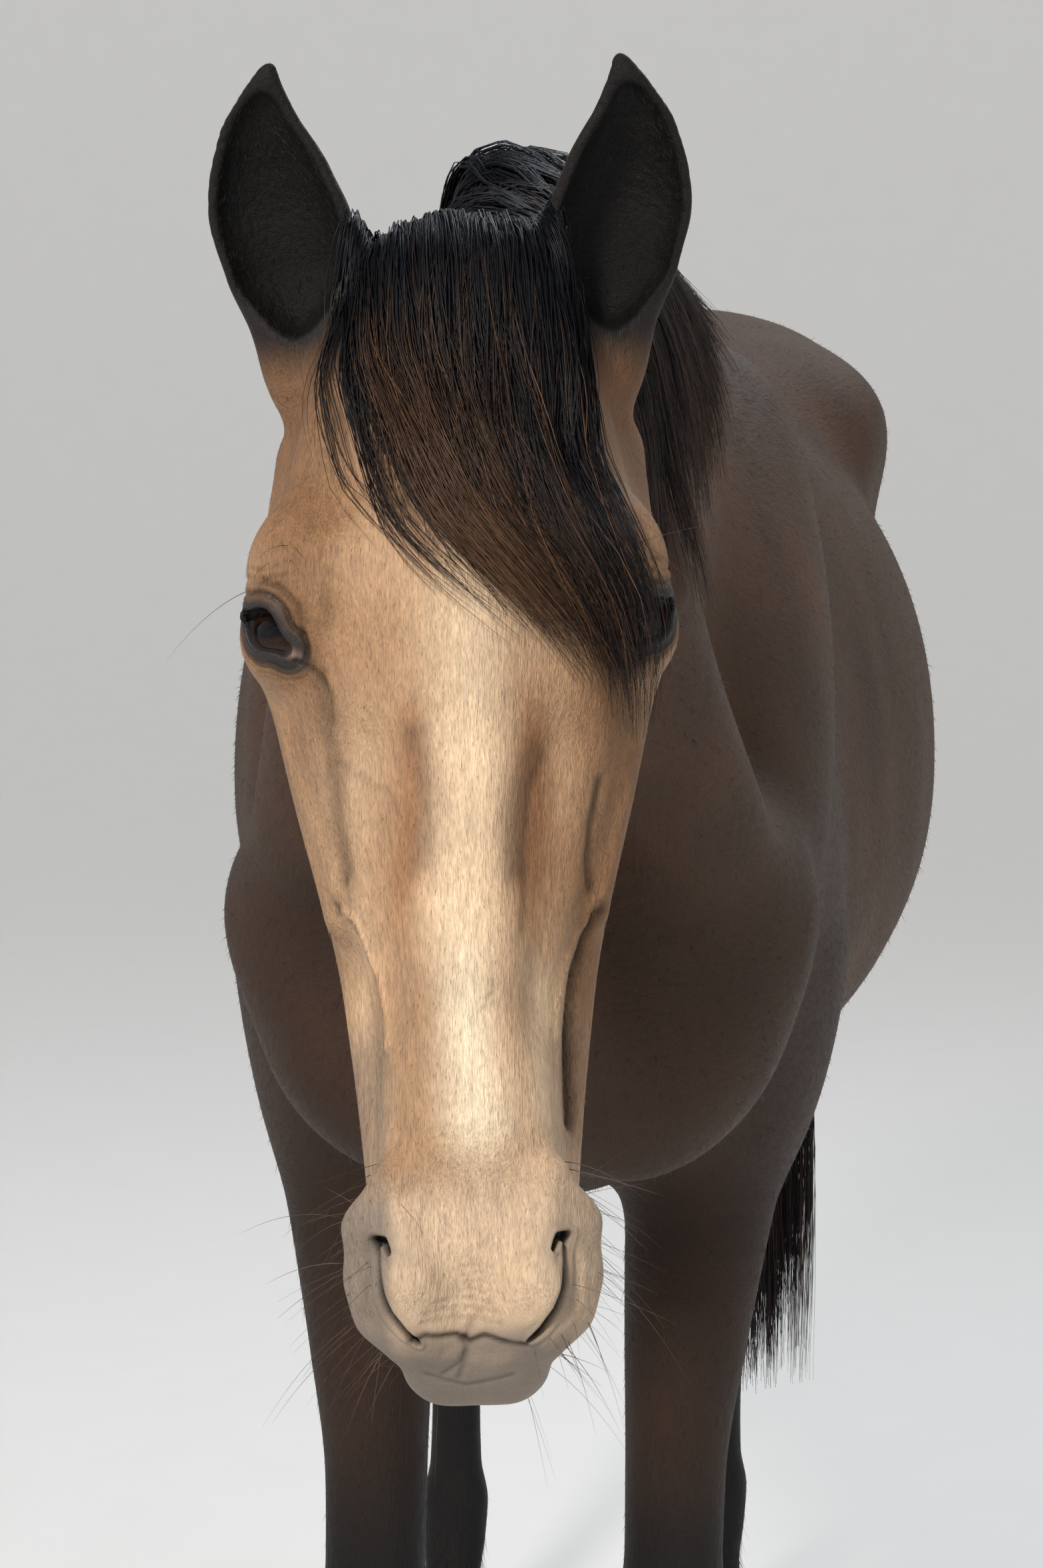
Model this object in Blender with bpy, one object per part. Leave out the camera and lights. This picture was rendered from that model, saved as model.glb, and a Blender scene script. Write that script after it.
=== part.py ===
"""A life-size Andalusian horse standing square, head a little low, ears pricked.

Metres, +Z up. The horse faces -Y, its left side is +X, and its hooves stand on z = 0.
The flesh is one smooth field of muscles, bones and hollows, parted into its named pieces by
thin gaps. Mane, forelock and tail are flat, tapered locks that overlap along their lie.
"""

import math
import random

import bmesh
import bpy
import numpy as np
import openvdb
from mathutils import Matrix, Vector

# Driving sizes. Along the body, y runs back from the point of the shoulder.
CENTRE_Y = 0.530                # y of the middle of the whole horse, tail included
GAP = 0.0003                    # between pieces that touch
MERGE = 0.000005                # points this close are one
BARREL_HALF_WIDTH = 0.325

HEAD_PITCH = math.radians(22)   # face forward of the vertical
HEAD_TURN = math.radians(4)     # towards the horse's left
HEAD_ROLL = math.radians(-1.6)
POLL = Vector((0.001, -0.49, 1.515))
HEAD_LENGTH = 0.59

# Places in the head's frame are (out from the midline, out of the face, down from the poll).
EYE_RADIUS = 0.0235
EYE = Vector((0.0855, -0.040, 0.1975))
EYE_FACING = Vector((0.54, 0.84, 0.05)).normalized()
LID_WAY = Vector((-0.60, 0.36, 0.72)).normalized()     # from the back corner of the lids to the front one
EAR_LENGTH = 0.170
EAR_BASE = Vector((0.082, -0.072, 0.040))
EAR_AXIS = Vector((0.10, 0.50, -0.84)).normalized()
EAR_FACING = Vector((0.22, 0.86, 0.36)).normalized()

FORE_TOP = 1.020                # heights on a leg
HIND_TOP = 1.150
KNEE_CUT = 0.560
HOCK_CUT = 0.705
CORONET = 0.062
CORONET_SLOPE = 0.36            # it rises towards the toe
HOOF_BACK = 0.011               # how far the hoof's middle is in front of its leg's foot
HOOF_TOE = 0.025                # and how much further at the floor
HOOF_HALF_WIDTH = 0.060
HOOF_HALF_LENGTH = 0.061
HOOF_TOP_RADIUS = 0.0505
HOOF_SIDES = 18

NECK_CUT = ((0, 0.12, 1.33), (0, -0.81, 0.58))
HEAD_CUT = ((0, -0.435, 1.52), (0, -0.79, -0.61))
TAIL_CUT = ((0, 1.594, 1.405), (0, 0.80, -0.60))
TAIL_CUT_REACH = (0.09, -0.06)  # above and below its point
TAIL_SPACE = ((1.624, 1.27), (1.634, 0.98), (1.90, 0.98), (1.90, 1.50))    # behind the buttocks
TAIL_SPACE_SIDES = (-0.10, 0.14)

# The room for a leg: the height of its sloping top at the inner edge, how much that rises
# outward and back, its y from front to back, and the y that the height is for.
FORE_ROOM = (0.845, 0.52, -0.10, 0.05, 0.56, 0.30)
HIND_ROOM = (0.860, 0.15, 0.35, 1.07, 1.70, 1.16)
INNER_EDGE = 0.025
OUTER_EDGE = 0.40

# Corners of the room for an ear, in its own frame.
EAR_LOW = (-0.044, -0.031, 0.012)
EAR_HIGH = (0.052, 0.06, 0.19)

MANE_SEED = 4
MANE_LOCKS = 26
MANE_START = -0.350             # y of the first and last locks
MANE_END = 0.232
FORELOCK_SEED = 7
FORELOCK_LOCKS = 15
TAIL_SEED = 5
TAIL_LOCKS = 15
TAIL_TIERS = ((0.02, 0.90, 1.0), (0.08, 0.96, 0.74), (0.14, 1.0, 0.46))    # root, tip, spread
LOCK_RINGS = 5

HORSE = "Andalusian horse"
CUTTERS = "Cutters"
BODY_CELL = 0.009
LEG_CELL = 0.0055
HEAD_CELL = 0.0034
EAR_CELL = 0.0026
BODY_TRIANGLES = 3700
LEG_TRIANGLES = 1000
HEAD_TRIANGLES = 2500
EAR_TRIANGLES = 310

COAT = (0.36, 0.20, 0.10, 1.0)
FACE_COAT = (0.56, 0.38, 0.23, 1.0)
POINTS = (0.030, 0.022, 0.020, 1.0)
HAIR = (0.022, 0.017, 0.016, 1.0)
HORN = (0.085, 0.070, 0.060, 1.0)
EYE_COLOUR = (0.012, 0.008, 0.006, 1.0)


def frame(origin, lateral, up, along):
    """A local frame as (origin, 3x3 rows of its lateral, up and along directions)."""
    rows = np.array([Vector(axis).normalized() for axis in (lateral, up, along)], float)
    return np.array(origin, float), rows


def head_frame():
    """Lateral to the horse's left, up out of the face, along from the poll to the lips."""
    turn = Matrix.Rotation(HEAD_TURN, 3, "Z") @ Matrix.Rotation(HEAD_ROLL, 3, "Y")
    face = turn @ Vector((0, -math.cos(HEAD_PITCH), math.sin(HEAD_PITCH)))
    down = turn @ Vector((0, -math.sin(HEAD_PITCH), -math.cos(HEAD_PITCH)))
    return frame(POLL, turn @ Vector((1, 0, 0)), face, down)


WORLD = frame((0, 0, 0), (1, 0, 0), (0, 0, 1), (0, 1, 0))
HEAD = head_frame()


def to_world(local, place):
    """The world point of (lateral, up, along) in a frame."""
    origin, rows = place
    return Vector(origin + np.array(local, float) @ rows)


class Shape:
    """One mass or hollow in a frame. Mirrored shapes stand on both sides of the frame's middle."""

    def __init__(self, place, mirrored=False):
        self.place = place
        self.mirrored = mirrored

    def local(self, x, y, z):
        origin, rows = self.place
        dx, dy, dz = x - origin[0], y - origin[1], z - origin[2]
        a, b, s = (r[0] * dx + r[1] * dy + r[2] * dz for r in rows)
        return (np.abs(a) if self.mirrored else a), b, s

    def distance(self, x, y, z):
        return self.local_distance(*self.local(x, y, z))

    def bounds(self):
        """Lowest and highest world corner of the shape's local box."""
        low, high = self.local_box()
        if self.mirrored:
            reach = max(abs(low[0]), abs(high[0]))
            low, high = (-reach, *low[1:]), (reach, *high[1:])
        corners = [
            to_world((a, b, s), self.place)
            for a in (low[0], high[0])
            for b in (low[1], high[1])
            for s in (low[2], high[2])
        ]
        return np.min(corners, axis=0), np.max(corners, axis=0)


class Blob(Shape):
    """An ellipsoid. Its lean turns it in the up and along plane."""

    def __init__(self, centre, radii, lean=0.0, place=WORLD, mirrored=True):
        super().__init__(place, mirrored)
        self.centre = centre
        self.radii = radii
        self.lean = math.radians(lean)

    def local_distance(self, a, b, s):
        a, b, s = a - self.centre[0], b - self.centre[1], s - self.centre[2]
        cos, sin = math.cos(self.lean), math.sin(self.lean)
        b, s = cos * b + sin * s, cos * s - sin * b
        ra, rb, rs = self.radii
        near = np.sqrt((a / ra) ** 2 + (b / rb) ** 2 + (s / rs) ** 2)
        slope = np.sqrt((a / ra**2) ** 2 + (b / rb**2) ** 2 + (s / rs**2) ** 2)
        return near * (near - 1) / np.maximum(slope, 1e-6)

    def local_box(self):
        reach = max(self.radii)
        return [c - reach for c in self.centre], [c + reach for c in self.centre]


class Bone(Shape):
    """A round rod between two points, from one radius to another."""

    def __init__(self, start, end, start_radius, end_radius, place=WORLD, mirrored=True):
        super().__init__(place, mirrored)
        self.start = np.array(start, float)
        self.end = np.array(end, float)
        self.radii = start_radius, end_radius

    def local_distance(self, a, b, s):
        run = self.end - self.start
        a, b, s = a - self.start[0], b - self.start[1], s - self.start[2]
        share = np.clip((a * run[0] + b * run[1] + s * run[2]) / (run @ run), 0, 1)
        away = (a - share * run[0]) ** 2 + (b - share * run[1]) ** 2 + (s - share * run[2]) ** 2
        return np.sqrt(away) - (self.radii[0] + share * (self.radii[1] - self.radii[0]))

    def local_box(self):
        reach = max(self.radii)
        ends = np.array([self.start, self.end])
        return ends.min(axis=0) - reach, ends.max(axis=0) + reach


class Sweep(Shape):
    """A tapering form along a frame's axis.

    Each station is (along, middle lateral, middle up, half width, reach up, reach down, squareness).
    """

    SAMPLES = 240

    def __init__(self, stations, place=WORLD, lean_to=(0.0, 0.0), mirrored=False, end_round=0.01):
        super().__init__(place, mirrored)
        table = np.array(stations, float)
        self.along = np.linspace(table[0, 0], table[-1, 0], self.SAMPLES)
        self.columns = [smooth_through(table[:, 0], column, self.along) for column in table.T[1:]]
        share = (self.along - self.along[0]) / (self.along[-1] - self.along[0])
        self.columns[0] = self.columns[0] + lean_to[0] * share
        self.columns[1] = self.columns[1] + lean_to[1] * share
        self.end_round = end_round

    def local_distance(self, a, b, s):
        middle_a, middle_b, width, above, below, square = (
            np.interp(s, self.along, column) for column in self.columns
        )
        rise = b - middle_b
        height = np.where(rise > 0, above, below)
        across = np.maximum(np.abs(a - middle_a) / width, 1e-5)
        upright = np.maximum(np.abs(rise) / height, 1e-5)
        total = across**square + upright**square
        level = total ** (1 / square)
        slope = level / total * np.hypot(
            across ** (square - 1) / width, upright ** (square - 1) / height
        )
        side = (level - 1) / np.maximum(slope, 1e-3)
        beyond = np.maximum(self.along[0] - s, s - self.along[-1])
        return smooth_max(side, beyond, self.end_round)

    def local_box(self):
        middle_a, middle_b, width, above, below, _ = self.columns
        low = ((middle_a - width).min(), (middle_b - below).min(), self.along[0])
        high = ((middle_a + width).max(), (middle_b + above).max(), self.along[-1])
        return low, high


def smooth_through(knots, values, at):
    """A smooth curve through the knots that doesn't overshoot between them."""
    steps = np.diff(values) / np.diff(knots)
    slopes = np.zeros(len(knots))
    same = steps[:-1] * steps[1:] > 0
    both = np.abs(steps[:-1]) + np.abs(steps[1:])
    slopes[1:-1][same] = (2 * steps[:-1] * steps[1:] * np.sign(both))[same] / (
        steps[:-1] + steps[1:]
    )[same]
    slopes[0], slopes[-1] = steps[0], steps[-1]
    span = np.clip(np.searchsorted(knots, at) - 1, 0, len(knots) - 2)
    width = np.diff(knots)[span]
    u = (at - knots[span]) / width
    return (
        values[span] * (1 + 2 * u) * (1 - u) ** 2
        + slopes[span] * width * u * (1 - u) ** 2
        + values[span + 1] * u**2 * (3 - 2 * u)
        + slopes[span + 1] * width * u**2 * (u - 1)
    )


def smooth_min(first, second, soft):
    mix = np.clip(0.5 + 0.5 * (second - first) / soft, 0, 1)
    return second + (first - second) * mix - soft * mix * (1 - mix)


def smooth_max(first, second, soft):
    return -smooth_min(-first, -second, soft)


def add(shape, soft):
    return shape, soft, False


def carve(shape, soft):
    return shape, soft, True


def trunk_and_muscles():
    """Chest, barrel and croup with the muscles that shape them."""
    stations = [
        # y, lateral, middle, half width, above, below, squareness
        (-0.030, 0.008, 1.07, 0.055, 0.05, 0.06, 2.0),
        (0.000, 0.008, 1.07, 0.122, 0.14, 0.13, 2.0),
        (0.070, 0.008, 1.09, 0.160, 0.25, 0.19, 2.0),
        (0.160, 0.006, 1.10, 0.184, 0.35, 0.235, 2.0),
        (0.300, 0.002, 1.09, 0.208, 0.445, 0.245, 1.9),
        (0.450, 0, 1.09, 0.235, 0.482, 0.260, 1.8),
        (0.600, 0, 1.10, 0.275, 0.440, 0.285, 1.95),
        (0.750, 0, 1.11, 0.310, 0.385, 0.305, 2.1),
        (0.900, 0, 1.12, BARREL_HALF_WIDTH, 0.365, 0.305, 2.15),
        (1.050, 0, 1.15, 0.305, 0.355, 0.290, 2.15),
        (1.200, 0, 1.20, 0.270, 0.340, 0.265, 2.2),
        (1.330, 0, 1.22, 0.245, 0.310, 0.225, 2.2),
        (1.450, 0, 1.22, 0.205, 0.260, 0.190, 2.1),
        (1.550, 0, 1.22, 0.140, 0.175, 0.140, 2.0),
        (1.600, 0, 1.22, 0.070, 0.090, 0.080, 2.0),
    ]
    return [
        add(Sweep(stations), 0.01),
        add(Blob((0.142, 1.25, 0.23), (0.066, 0.125, 0.260), lean=128), 0.08),    # shoulder blade
        add(Blob((0.118, 1.045, 0.035), (0.060, 0.100, 0.075)), 0.07),            # point of shoulder
        add(Blob((0.075, 1.030, 0.010), (0.075, 0.115, 0.065)), 0.05),            # breast
        add(Blob((0.156, 1.020, 0.310), (0.060, 0.150, 0.125), lean=15), 0.07),   # triceps
        add(Blob((0.140, 1.415, 1.170), (0.130, 0.110, 0.240), lean=-4), 0.09),   # gluteal mass
        add(Blob((0.165, 1.190, 1.330), (0.103, 0.260, 0.170), lean=12), 0.08),   # thigh
        add(Blob((0.105, 1.250, 1.468), (0.095, 0.195, 0.105), lean=-8), 0.06),   # buttock
        add(Bone((0.120, 1.180, 1.488), (0.135, 0.860, 1.400), 0.078, 0.050), 0.07),
        add(Blob((0.190, 1.000, 1.165), (0.070, 0.120, 0.085)), 0.08),            # stifle
        add(Blob((0.224, 1.420, 1.070), (0.038, 0.042, 0.075)), 0.08),            # point of hip
        carve(Blob((0.352, 1.300, 1.045), (0.045, 0.095, 0.070)), 0.08),          # flank
        carve(Blob((0.000, 1.000, -0.075), (0.014, 0.110, 0.050), mirrored=False), 0.04),
        add(Bone((0, 1.425, 1.450), (0.002, 1.415, 1.582), 0.055, 0.036, mirrored=False), 0.05),
        *(add(Bone(a, b, r, q, mirrored=False), 0.02) for a, b, r, q in dock_bones()),
    ]


def dock_bones():
    """The fleshy root of the tail, from the croup down."""
    path = [(0.002, 1.415, 1.582), (0.008, 1.350, 1.630), (0.024, 1.255, 1.654), (0.046, 1.135, 1.666)]
    radii = [0.036, 0.032, 0.026, 0.016]
    return list(zip(path, path[1:], radii, radii[1:]))


NECK_BASE = Vector((0.0, 0.25, 1.33))
NECK_TOP = Vector((0.004, -0.42, 1.425))


def neck_frame():
    along = NECK_TOP - NECK_BASE
    lateral = Vector((0, 0, 1)).cross(along)
    if lateral.x < 0:
        lateral.negate()
    up = Vector((0, 0, 1)) - along.normalized() * along.normalized().z
    return frame(NECK_BASE, lateral, up, along)


NECK = neck_frame()


def neck_and_crest():
    """The arched neck, its long muscle down to the shoulder and the groove below that."""
    stations = [
        # along, lateral, middle, half width, above, below, squareness
        (-0.060, 0, 0.00, 0.140, 0.215, 0.290, 2.0),
        (0.000, 0, 0.00, 0.145, 0.236, 0.285, 2.0),
        (0.150, 0, 0.00, 0.138, 0.230, 0.265, 1.9),
        (0.300, 0, 0.00, 0.122, 0.208, 0.225, 1.85),
        (0.450, 0, 0.00, 0.108, 0.175, 0.195, 1.85),
        (0.570, 0, 0.00, 0.094, 0.136, 0.158, 2.0),
        (0.650, 0, 0.00, 0.080, 0.100, 0.115, 2.0),
        (0.700, 0, 0.00, 0.060, 0.060, 0.085, 2.0),
    ]
    return [
        add(Sweep(stations, NECK, end_round=0.04), 0.06),
        add(Bone((0.080, 1.330, -0.270), (0.135, 1.100, 0.015), 0.040, 0.056), 0.06),
    ]


# Each station is (height, lateral, forward, half width, to the front, to the back, squareness).
FORE_LEG = [
    (FORE_TOP, 0.030, 0.020, 0.070, 0.110, 0.130, 2.0),
    (0.910, 0.022, -0.005, 0.066, 0.090, 0.105, 2.0),
    (0.810, 0.012, -0.020, 0.058, 0.070, 0.080, 2.0),
    (0.710, 0.005, -0.028, 0.049, 0.055, 0.062, 2.1),
    (0.610, 0.000, -0.034, 0.041, 0.045, 0.050, 2.2),
    (0.540, 0.000, -0.038, 0.040, 0.042, 0.045, 2.4),
    (0.475, 0.000, -0.040, 0.047, 0.046, 0.048, 2.7),
    (0.420, 0.000, -0.042, 0.042, 0.038, 0.045, 2.5),
    (0.375, 0.000, -0.046, 0.031, 0.029, 0.040, 2.2),
    (0.300, 0.000, -0.048, 0.027, 0.026, 0.038, 2.2),
    (0.245, 0.000, -0.050, 0.029, 0.027, 0.040, 2.1),
    (0.205, 0.000, -0.050, 0.037, 0.034, 0.047, 2.1),
    (0.170, 0.000, -0.042, 0.035, 0.034, 0.040, 2.0),
    (0.135, 0.000, -0.024, 0.032, 0.033, 0.034, 2.0),
    (0.100, 0.000, -0.004, 0.037, 0.038, 0.038, 2.0),
    (0.070, 0.000, 0.010, 0.049, 0.048, 0.049, 2.2),
    (0.030, 0.000, 0.014, 0.049, 0.048, 0.049, 2.2),
]
HIND_LEG = [
    (HIND_TOP, 0.020, 0.130, 0.085, 0.150, 0.170, 2.0),
    (1.020, 0.024, 0.145, 0.085, 0.145, 0.150, 2.0),
    (0.910, 0.022, 0.115, 0.074, 0.108, 0.112, 2.0),
    (0.810, 0.016, 0.062, 0.060, 0.082, 0.082, 2.0),
    (0.730, 0.008, 0.016, 0.049, 0.062, 0.068, 2.1),
    (0.665, 0.003, -0.016, 0.042, 0.050, 0.068, 2.2),
    (0.610, 0.000, -0.036, 0.043, 0.048, 0.076, 2.4),
    (0.555, 0.000, -0.044, 0.045, 0.045, 0.062, 2.5),
    (0.495, 0.000, -0.052, 0.038, 0.038, 0.045, 2.3),
    (0.430, 0.000, -0.056, 0.030, 0.031, 0.040, 2.2),
    (0.330, 0.000, -0.058, 0.028, 0.029, 0.039, 2.2),
    (0.260, 0.000, -0.058, 0.030, 0.030, 0.042, 2.1),
    (0.215, 0.000, -0.055, 0.038, 0.036, 0.048, 2.1),
    (0.175, 0.000, -0.046, 0.036, 0.035, 0.041, 2.0),
    (0.138, 0.000, -0.028, 0.032, 0.033, 0.035, 2.0),
    (0.102, 0.000, -0.006, 0.037, 0.038, 0.038, 2.0),
    (0.070, 0.000, 0.008, 0.049, 0.047, 0.049, 2.2),
    (0.030, 0.000, 0.012, 0.049, 0.047, 0.049, 2.2),
]

# Each leg's stations, x and y of its foot, and how far its foot is set sideways and
# forward of where the leg's top stays.
LEGS = {
    "fore_left": (FORE_LEG, 0.092, 0.300, (-0.020, 0.010)),
    "fore_right": (FORE_LEG, -0.138, 0.245, (-0.012, 0.065)),
    "hind_left": (HIND_LEG, 0.112, 1.500, (-0.038, -0.040)),
    "hind_right": (HIND_LEG, -0.178, 1.420, (-0.010, 0.040)),
}


def leg_frame(x, y):
    """Up towards the front of the leg and along straight down, from the floor at the foot."""
    return frame((x, y, 0), (1, 0, 0), (0, -1, 0), (0, 0, -1))


def leg_shape(name):
    stations, x, y, (sideways, forward) = LEGS[name]
    side = math.copysign(1, x)
    top = stations[0][0]
    rows = []
    for height, lateral, ahead, *sizes in stations:
        share = (height / top) ** 1.5
        rows.append((-height, side * lateral - sideways * share, ahead - forward * share, *sizes))
    return Sweep(rows, leg_frame(x, y))


def ear_frame(side):
    """Lateral away from the head, up out of the cup, along from the base to the tip."""
    mirror = Vector((side, 1, 1))
    facing = (EAR_FACING - EAR_AXIS * EAR_FACING.dot(EAR_AXIS)).normalized()
    lateral = EAR_AXIS.cross(facing)
    if lateral.x < 0:
        lateral.negate()
    _, rows = HEAD
    turned = [Vector(np.array(axis * mirror) @ rows) for axis in (lateral, facing, EAR_AXIS)]
    return frame(to_world(EAR_BASE * mirror, HEAD), *turned)


EAR = [
    # along, lateral, middle, half width, above, below, squareness
    (-0.030, 0.000, 0.000, 0.022, 0.024, 0.024, 2.0),
    (0.000, -0.002, 0.000, 0.0225, 0.022, 0.024, 2.0),
    (0.030, -0.004, 0.000, 0.029, 0.018, 0.026, 2.0),
    (0.060, -0.003, 0.000, 0.0375, 0.013, 0.027, 2.1),
    (0.085, 0.000, 0.000, 0.0390, 0.011, 0.026, 2.1),
    (0.110, 0.002, 0.001, 0.0340, 0.009, 0.022, 2.0),
    (0.135, 0.002, 0.004, 0.0235, 0.007, 0.014, 2.0),
    (0.155, -0.003, 0.008, 0.0120, 0.006, 0.008, 2.0),
    (EAR_LENGTH, -0.010, 0.012, 0.0030, 0.003, 0.003, 2.0),
]
EAR_WALL = 0.0056


def ear_cup():
    """Stations of the hollow in the front of an ear, pointed at its foot."""
    cup = [(0.026, -0.004, 0.016, 0.005, 0.026, 0.010, 2.0), (0.040, -0.004, 0.010, 0.019, 0.028, 0.020, 2.0)]
    for along, lateral, middle, half, _, below, square in EAR[3:-1]:
        cup.append((along, lateral, middle + 0.006, half - EAR_WALL, 0.030, below - EAR_WALL + 0.006, square))
    return cup


def ear_shapes():
    """A rolled leaf, hollow in front."""
    shapes = []
    for side in (1, -1):
        place = ear_frame(side)
        shapes.append(add(Sweep(EAR, place, end_round=0.004), 0.014))
        shapes.append(carve(Sweep(ear_cup(), place, end_round=0.008), 0.005))
    return shapes


def head_shapes():
    """Skull, jaw, orbits, cheeks, muzzle and lips, in the head's own frame."""
    skull = [
        # along, lateral, middle, half width, above, below, squareness
        (-0.030, 0, -0.085, 0.030, 0.030, 0.040, 2.0),
        (0.005, 0, -0.070, 0.058, 0.055, 0.070, 2.1),
        (0.040, 0, -0.062, 0.074, 0.062, 0.090, 2.2),
        (0.080, 0, -0.055, 0.084, 0.062, 0.110, 2.4),
        (0.130, 0, -0.050, 0.093, 0.060, 0.125, 2.5),
        (0.180, 0, -0.050, 0.096, 0.058, 0.130, 2.5),
        (0.230, 0, -0.055, 0.090, 0.058, 0.125, 2.4),
        (0.280, 0, -0.060, 0.079, 0.058, 0.105, 2.3),
        (0.330, 0, -0.060, 0.064, 0.056, 0.090, 2.3),
        (0.380, 0, -0.056, 0.051, 0.052, 0.080, 2.3),
        (0.430, 0, -0.054, 0.0455, 0.048, 0.066, 2.3),
        (0.475, 0, -0.055, 0.047, 0.046, 0.052, 2.4),
        (0.515, 0, -0.056, 0.047, 0.042, 0.042, 2.5),
        (0.550, 0, -0.060, 0.043, 0.036, 0.036, 2.6),
        (0.575, 0, -0.068, 0.037, 0.028, 0.026, 2.6),
        (HEAD_LENGTH, 0, -0.075, 0.027, 0.014, 0.014, 2.4),
    ]
    jaw = [
        (0.030, 0, -0.150, 0.035, 0.040, 0.060, 2.0),
        (0.080, 0, -0.165, 0.052, 0.060, 0.088, 2.1),
        (0.140, 0, -0.170, 0.062, 0.070, 0.104, 2.2),
        (0.190, 0, -0.170, 0.064, 0.070, 0.105, 2.2),
        (0.250, 0, -0.160, 0.059, 0.070, 0.096, 2.2),
        (0.310, 0, -0.145, 0.050, 0.065, 0.078, 2.2),
        (0.370, 0, -0.128, 0.042, 0.060, 0.062, 2.2),
        (0.430, 0, -0.118, 0.036, 0.050, 0.045, 2.2),
        (0.475, 0, -0.116, 0.034, 0.040, 0.032, 2.2),
        (0.515, 0, -0.118, 0.035, 0.030, 0.034, 2.2),
        (0.545, 0, -0.112, 0.032, 0.020, 0.028, 2.2),
        (0.566, 0, -0.105, 0.022, 0.012, 0.016, 2.2),
    ]
    nose = [
        (0.130, 0, -0.030, 0.040, 0.040, 0.030, 2.6),
        (0.220, 0, -0.030, 0.034, 0.038, 0.030, 2.8),
        (0.300, 0, -0.030, 0.030, 0.035, 0.030, 3.0),
        (0.400, 0, -0.030, 0.027, 0.031, 0.030, 3.0),
        (0.470, 0, -0.032, 0.027, 0.026, 0.026, 2.8),
    ]
    lid_middle = EYE + EYE_FACING * (EYE_RADIUS + 0.004)
    front_corner = EYE + (EYE_FACING * 0.82 + LID_WAY * 0.57) * (EYE_RADIUS + 0.003)
    back_corner = EYE + (EYE_FACING * 0.80 - LID_WAY * 0.60) * (EYE_RADIUS + 0.003)

    def bone(start, end, first, last):
        return Bone(start, end, first, last, HEAD)

    def blob(centre, radii, lean=0.0):
        return Blob(centre, radii, lean, HEAD)

    return [
        add(Sweep(skull, HEAD, end_round=0.012), 0.05),
        add(Sweep(jaw, HEAD, end_round=0.02), 0.03),
        add(Sweep(nose, HEAD, end_round=0.02), 0.03),
        add(blob((0.050, -0.165, 0.160), (0.032, 0.095, 0.100)), 0.03),                 # cheek
        add(bone((0.093, -0.055, 0.190), (0.082, -0.105, 0.075), 0.011, 0.015), 0.035),  # cheek arch
        add(blob((0.084, -0.020, 0.168), (0.024, 0.020, 0.032)), 0.03),                 # brow
        add(bone((0.088, -0.068, 0.215), (0.066, -0.066, 0.340), 0.010, 0.005), 0.03),  # facial crest
        add(bone((0.054, -0.090, 0.345), (0.046, -0.078, 0.480), 0.016, 0.007), 0.02),  # cheek side
        carve(blob((0.060, 0.012, 0.112), (0.016, 0.016, 0.026)), 0.03),                # temple hollow
        carve(bone((0.058, -0.006, 0.270), (0.046, -0.010, 0.400), 0.003, 0.003), 0.03),
        add(blob(EYE, (EYE_RADIUS + 0.0052,) * 3), 0.012),                              # lids
        carve(bone(back_corner, lid_middle, 0.0035, 0.0095), 0.003),
        carve(bone(lid_middle, front_corner, 0.0095, 0.0035), 0.003),
        *muzzle_shapes(),
        *ear_shapes(),
    ]


def muzzle_shapes():
    """Nostril wings with their openings, the lips and the chin."""
    wing = [
        (0.040, -0.018, 0.486),
        (0.0515, -0.034, 0.506),
        (0.0510, -0.044, 0.530),
        (0.0455, -0.046, 0.547),
        (0.034, -0.044, 0.560),
    ]
    inner_wing = [(0.034, -0.020, 0.511), (0.031, -0.022, 0.536), (0.024, -0.032, 0.556)]
    opening = [
        (0.0390, -0.010, 0.522),
        (0.0460, -0.014, 0.5165),
        (0.0475, -0.022, 0.529),
        (0.0465, -0.028, 0.541),
        (0.041, -0.032, 0.553),
        (0.033, -0.036, 0.560),
        (0.026, -0.040, 0.564),
    ]
    inward = Vector((-0.004, -0.016, -0.006))
    mouth = [(0, -0.094, 0.580), (0.028, -0.094, 0.566), (0.041, -0.096, 0.525), (0.047, -0.096, 0.482)]
    shapes = [
        add(Bone(start, end, 0.0095, 0.0095, HEAD), 0.018)
        for path in (wing, inner_wing)
        for start, end in zip(path, path[1:])
    ]
    for start, end in zip(opening, opening[1:]):
        deep = [Vector(point) + inward for point in (start, end)]
        shapes.append(carve(Bone(start, end, 0.0028, 0.0028, HEAD), 0.004))
        shapes.append(carve(Bone(*deep, 0.0042, 0.0042, HEAD), 0.005))
    shapes.append(add(Blob((0.0, -0.140, 0.525), (0.030, 0.020, 0.026), place=HEAD, mirrored=False), 0.02))
    for start, end in zip(mouth, mouth[1:]):
        shapes.append(carve(Bone(start, end, 0.0022, 0.0022, HEAD), 0.005))
    return shapes


def flesh():
    legs = [add(leg_shape(name), 0.05) for name in LEGS]
    return trunk_and_muscles() + legs + neck_and_crest() + head_shapes()


FLESH = flesh()
FLESH_AND_EYES = FLESH + [add(Blob(EYE, (EYE_RADIUS,) * 3, place=HEAD), 0.002)]


def field(x, y, z, shapes):
    """Signed distance to the shapes at the given points, negative inside."""
    value = np.ones(np.broadcast(x, y, z).shape, np.float32)
    for shape, soft, hollow in shapes:
        there = shape.distance(x, y, z)
        value = smooth_max(value, -there, soft) if hollow else smooth_min(value, there, soft)
    return value


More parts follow.
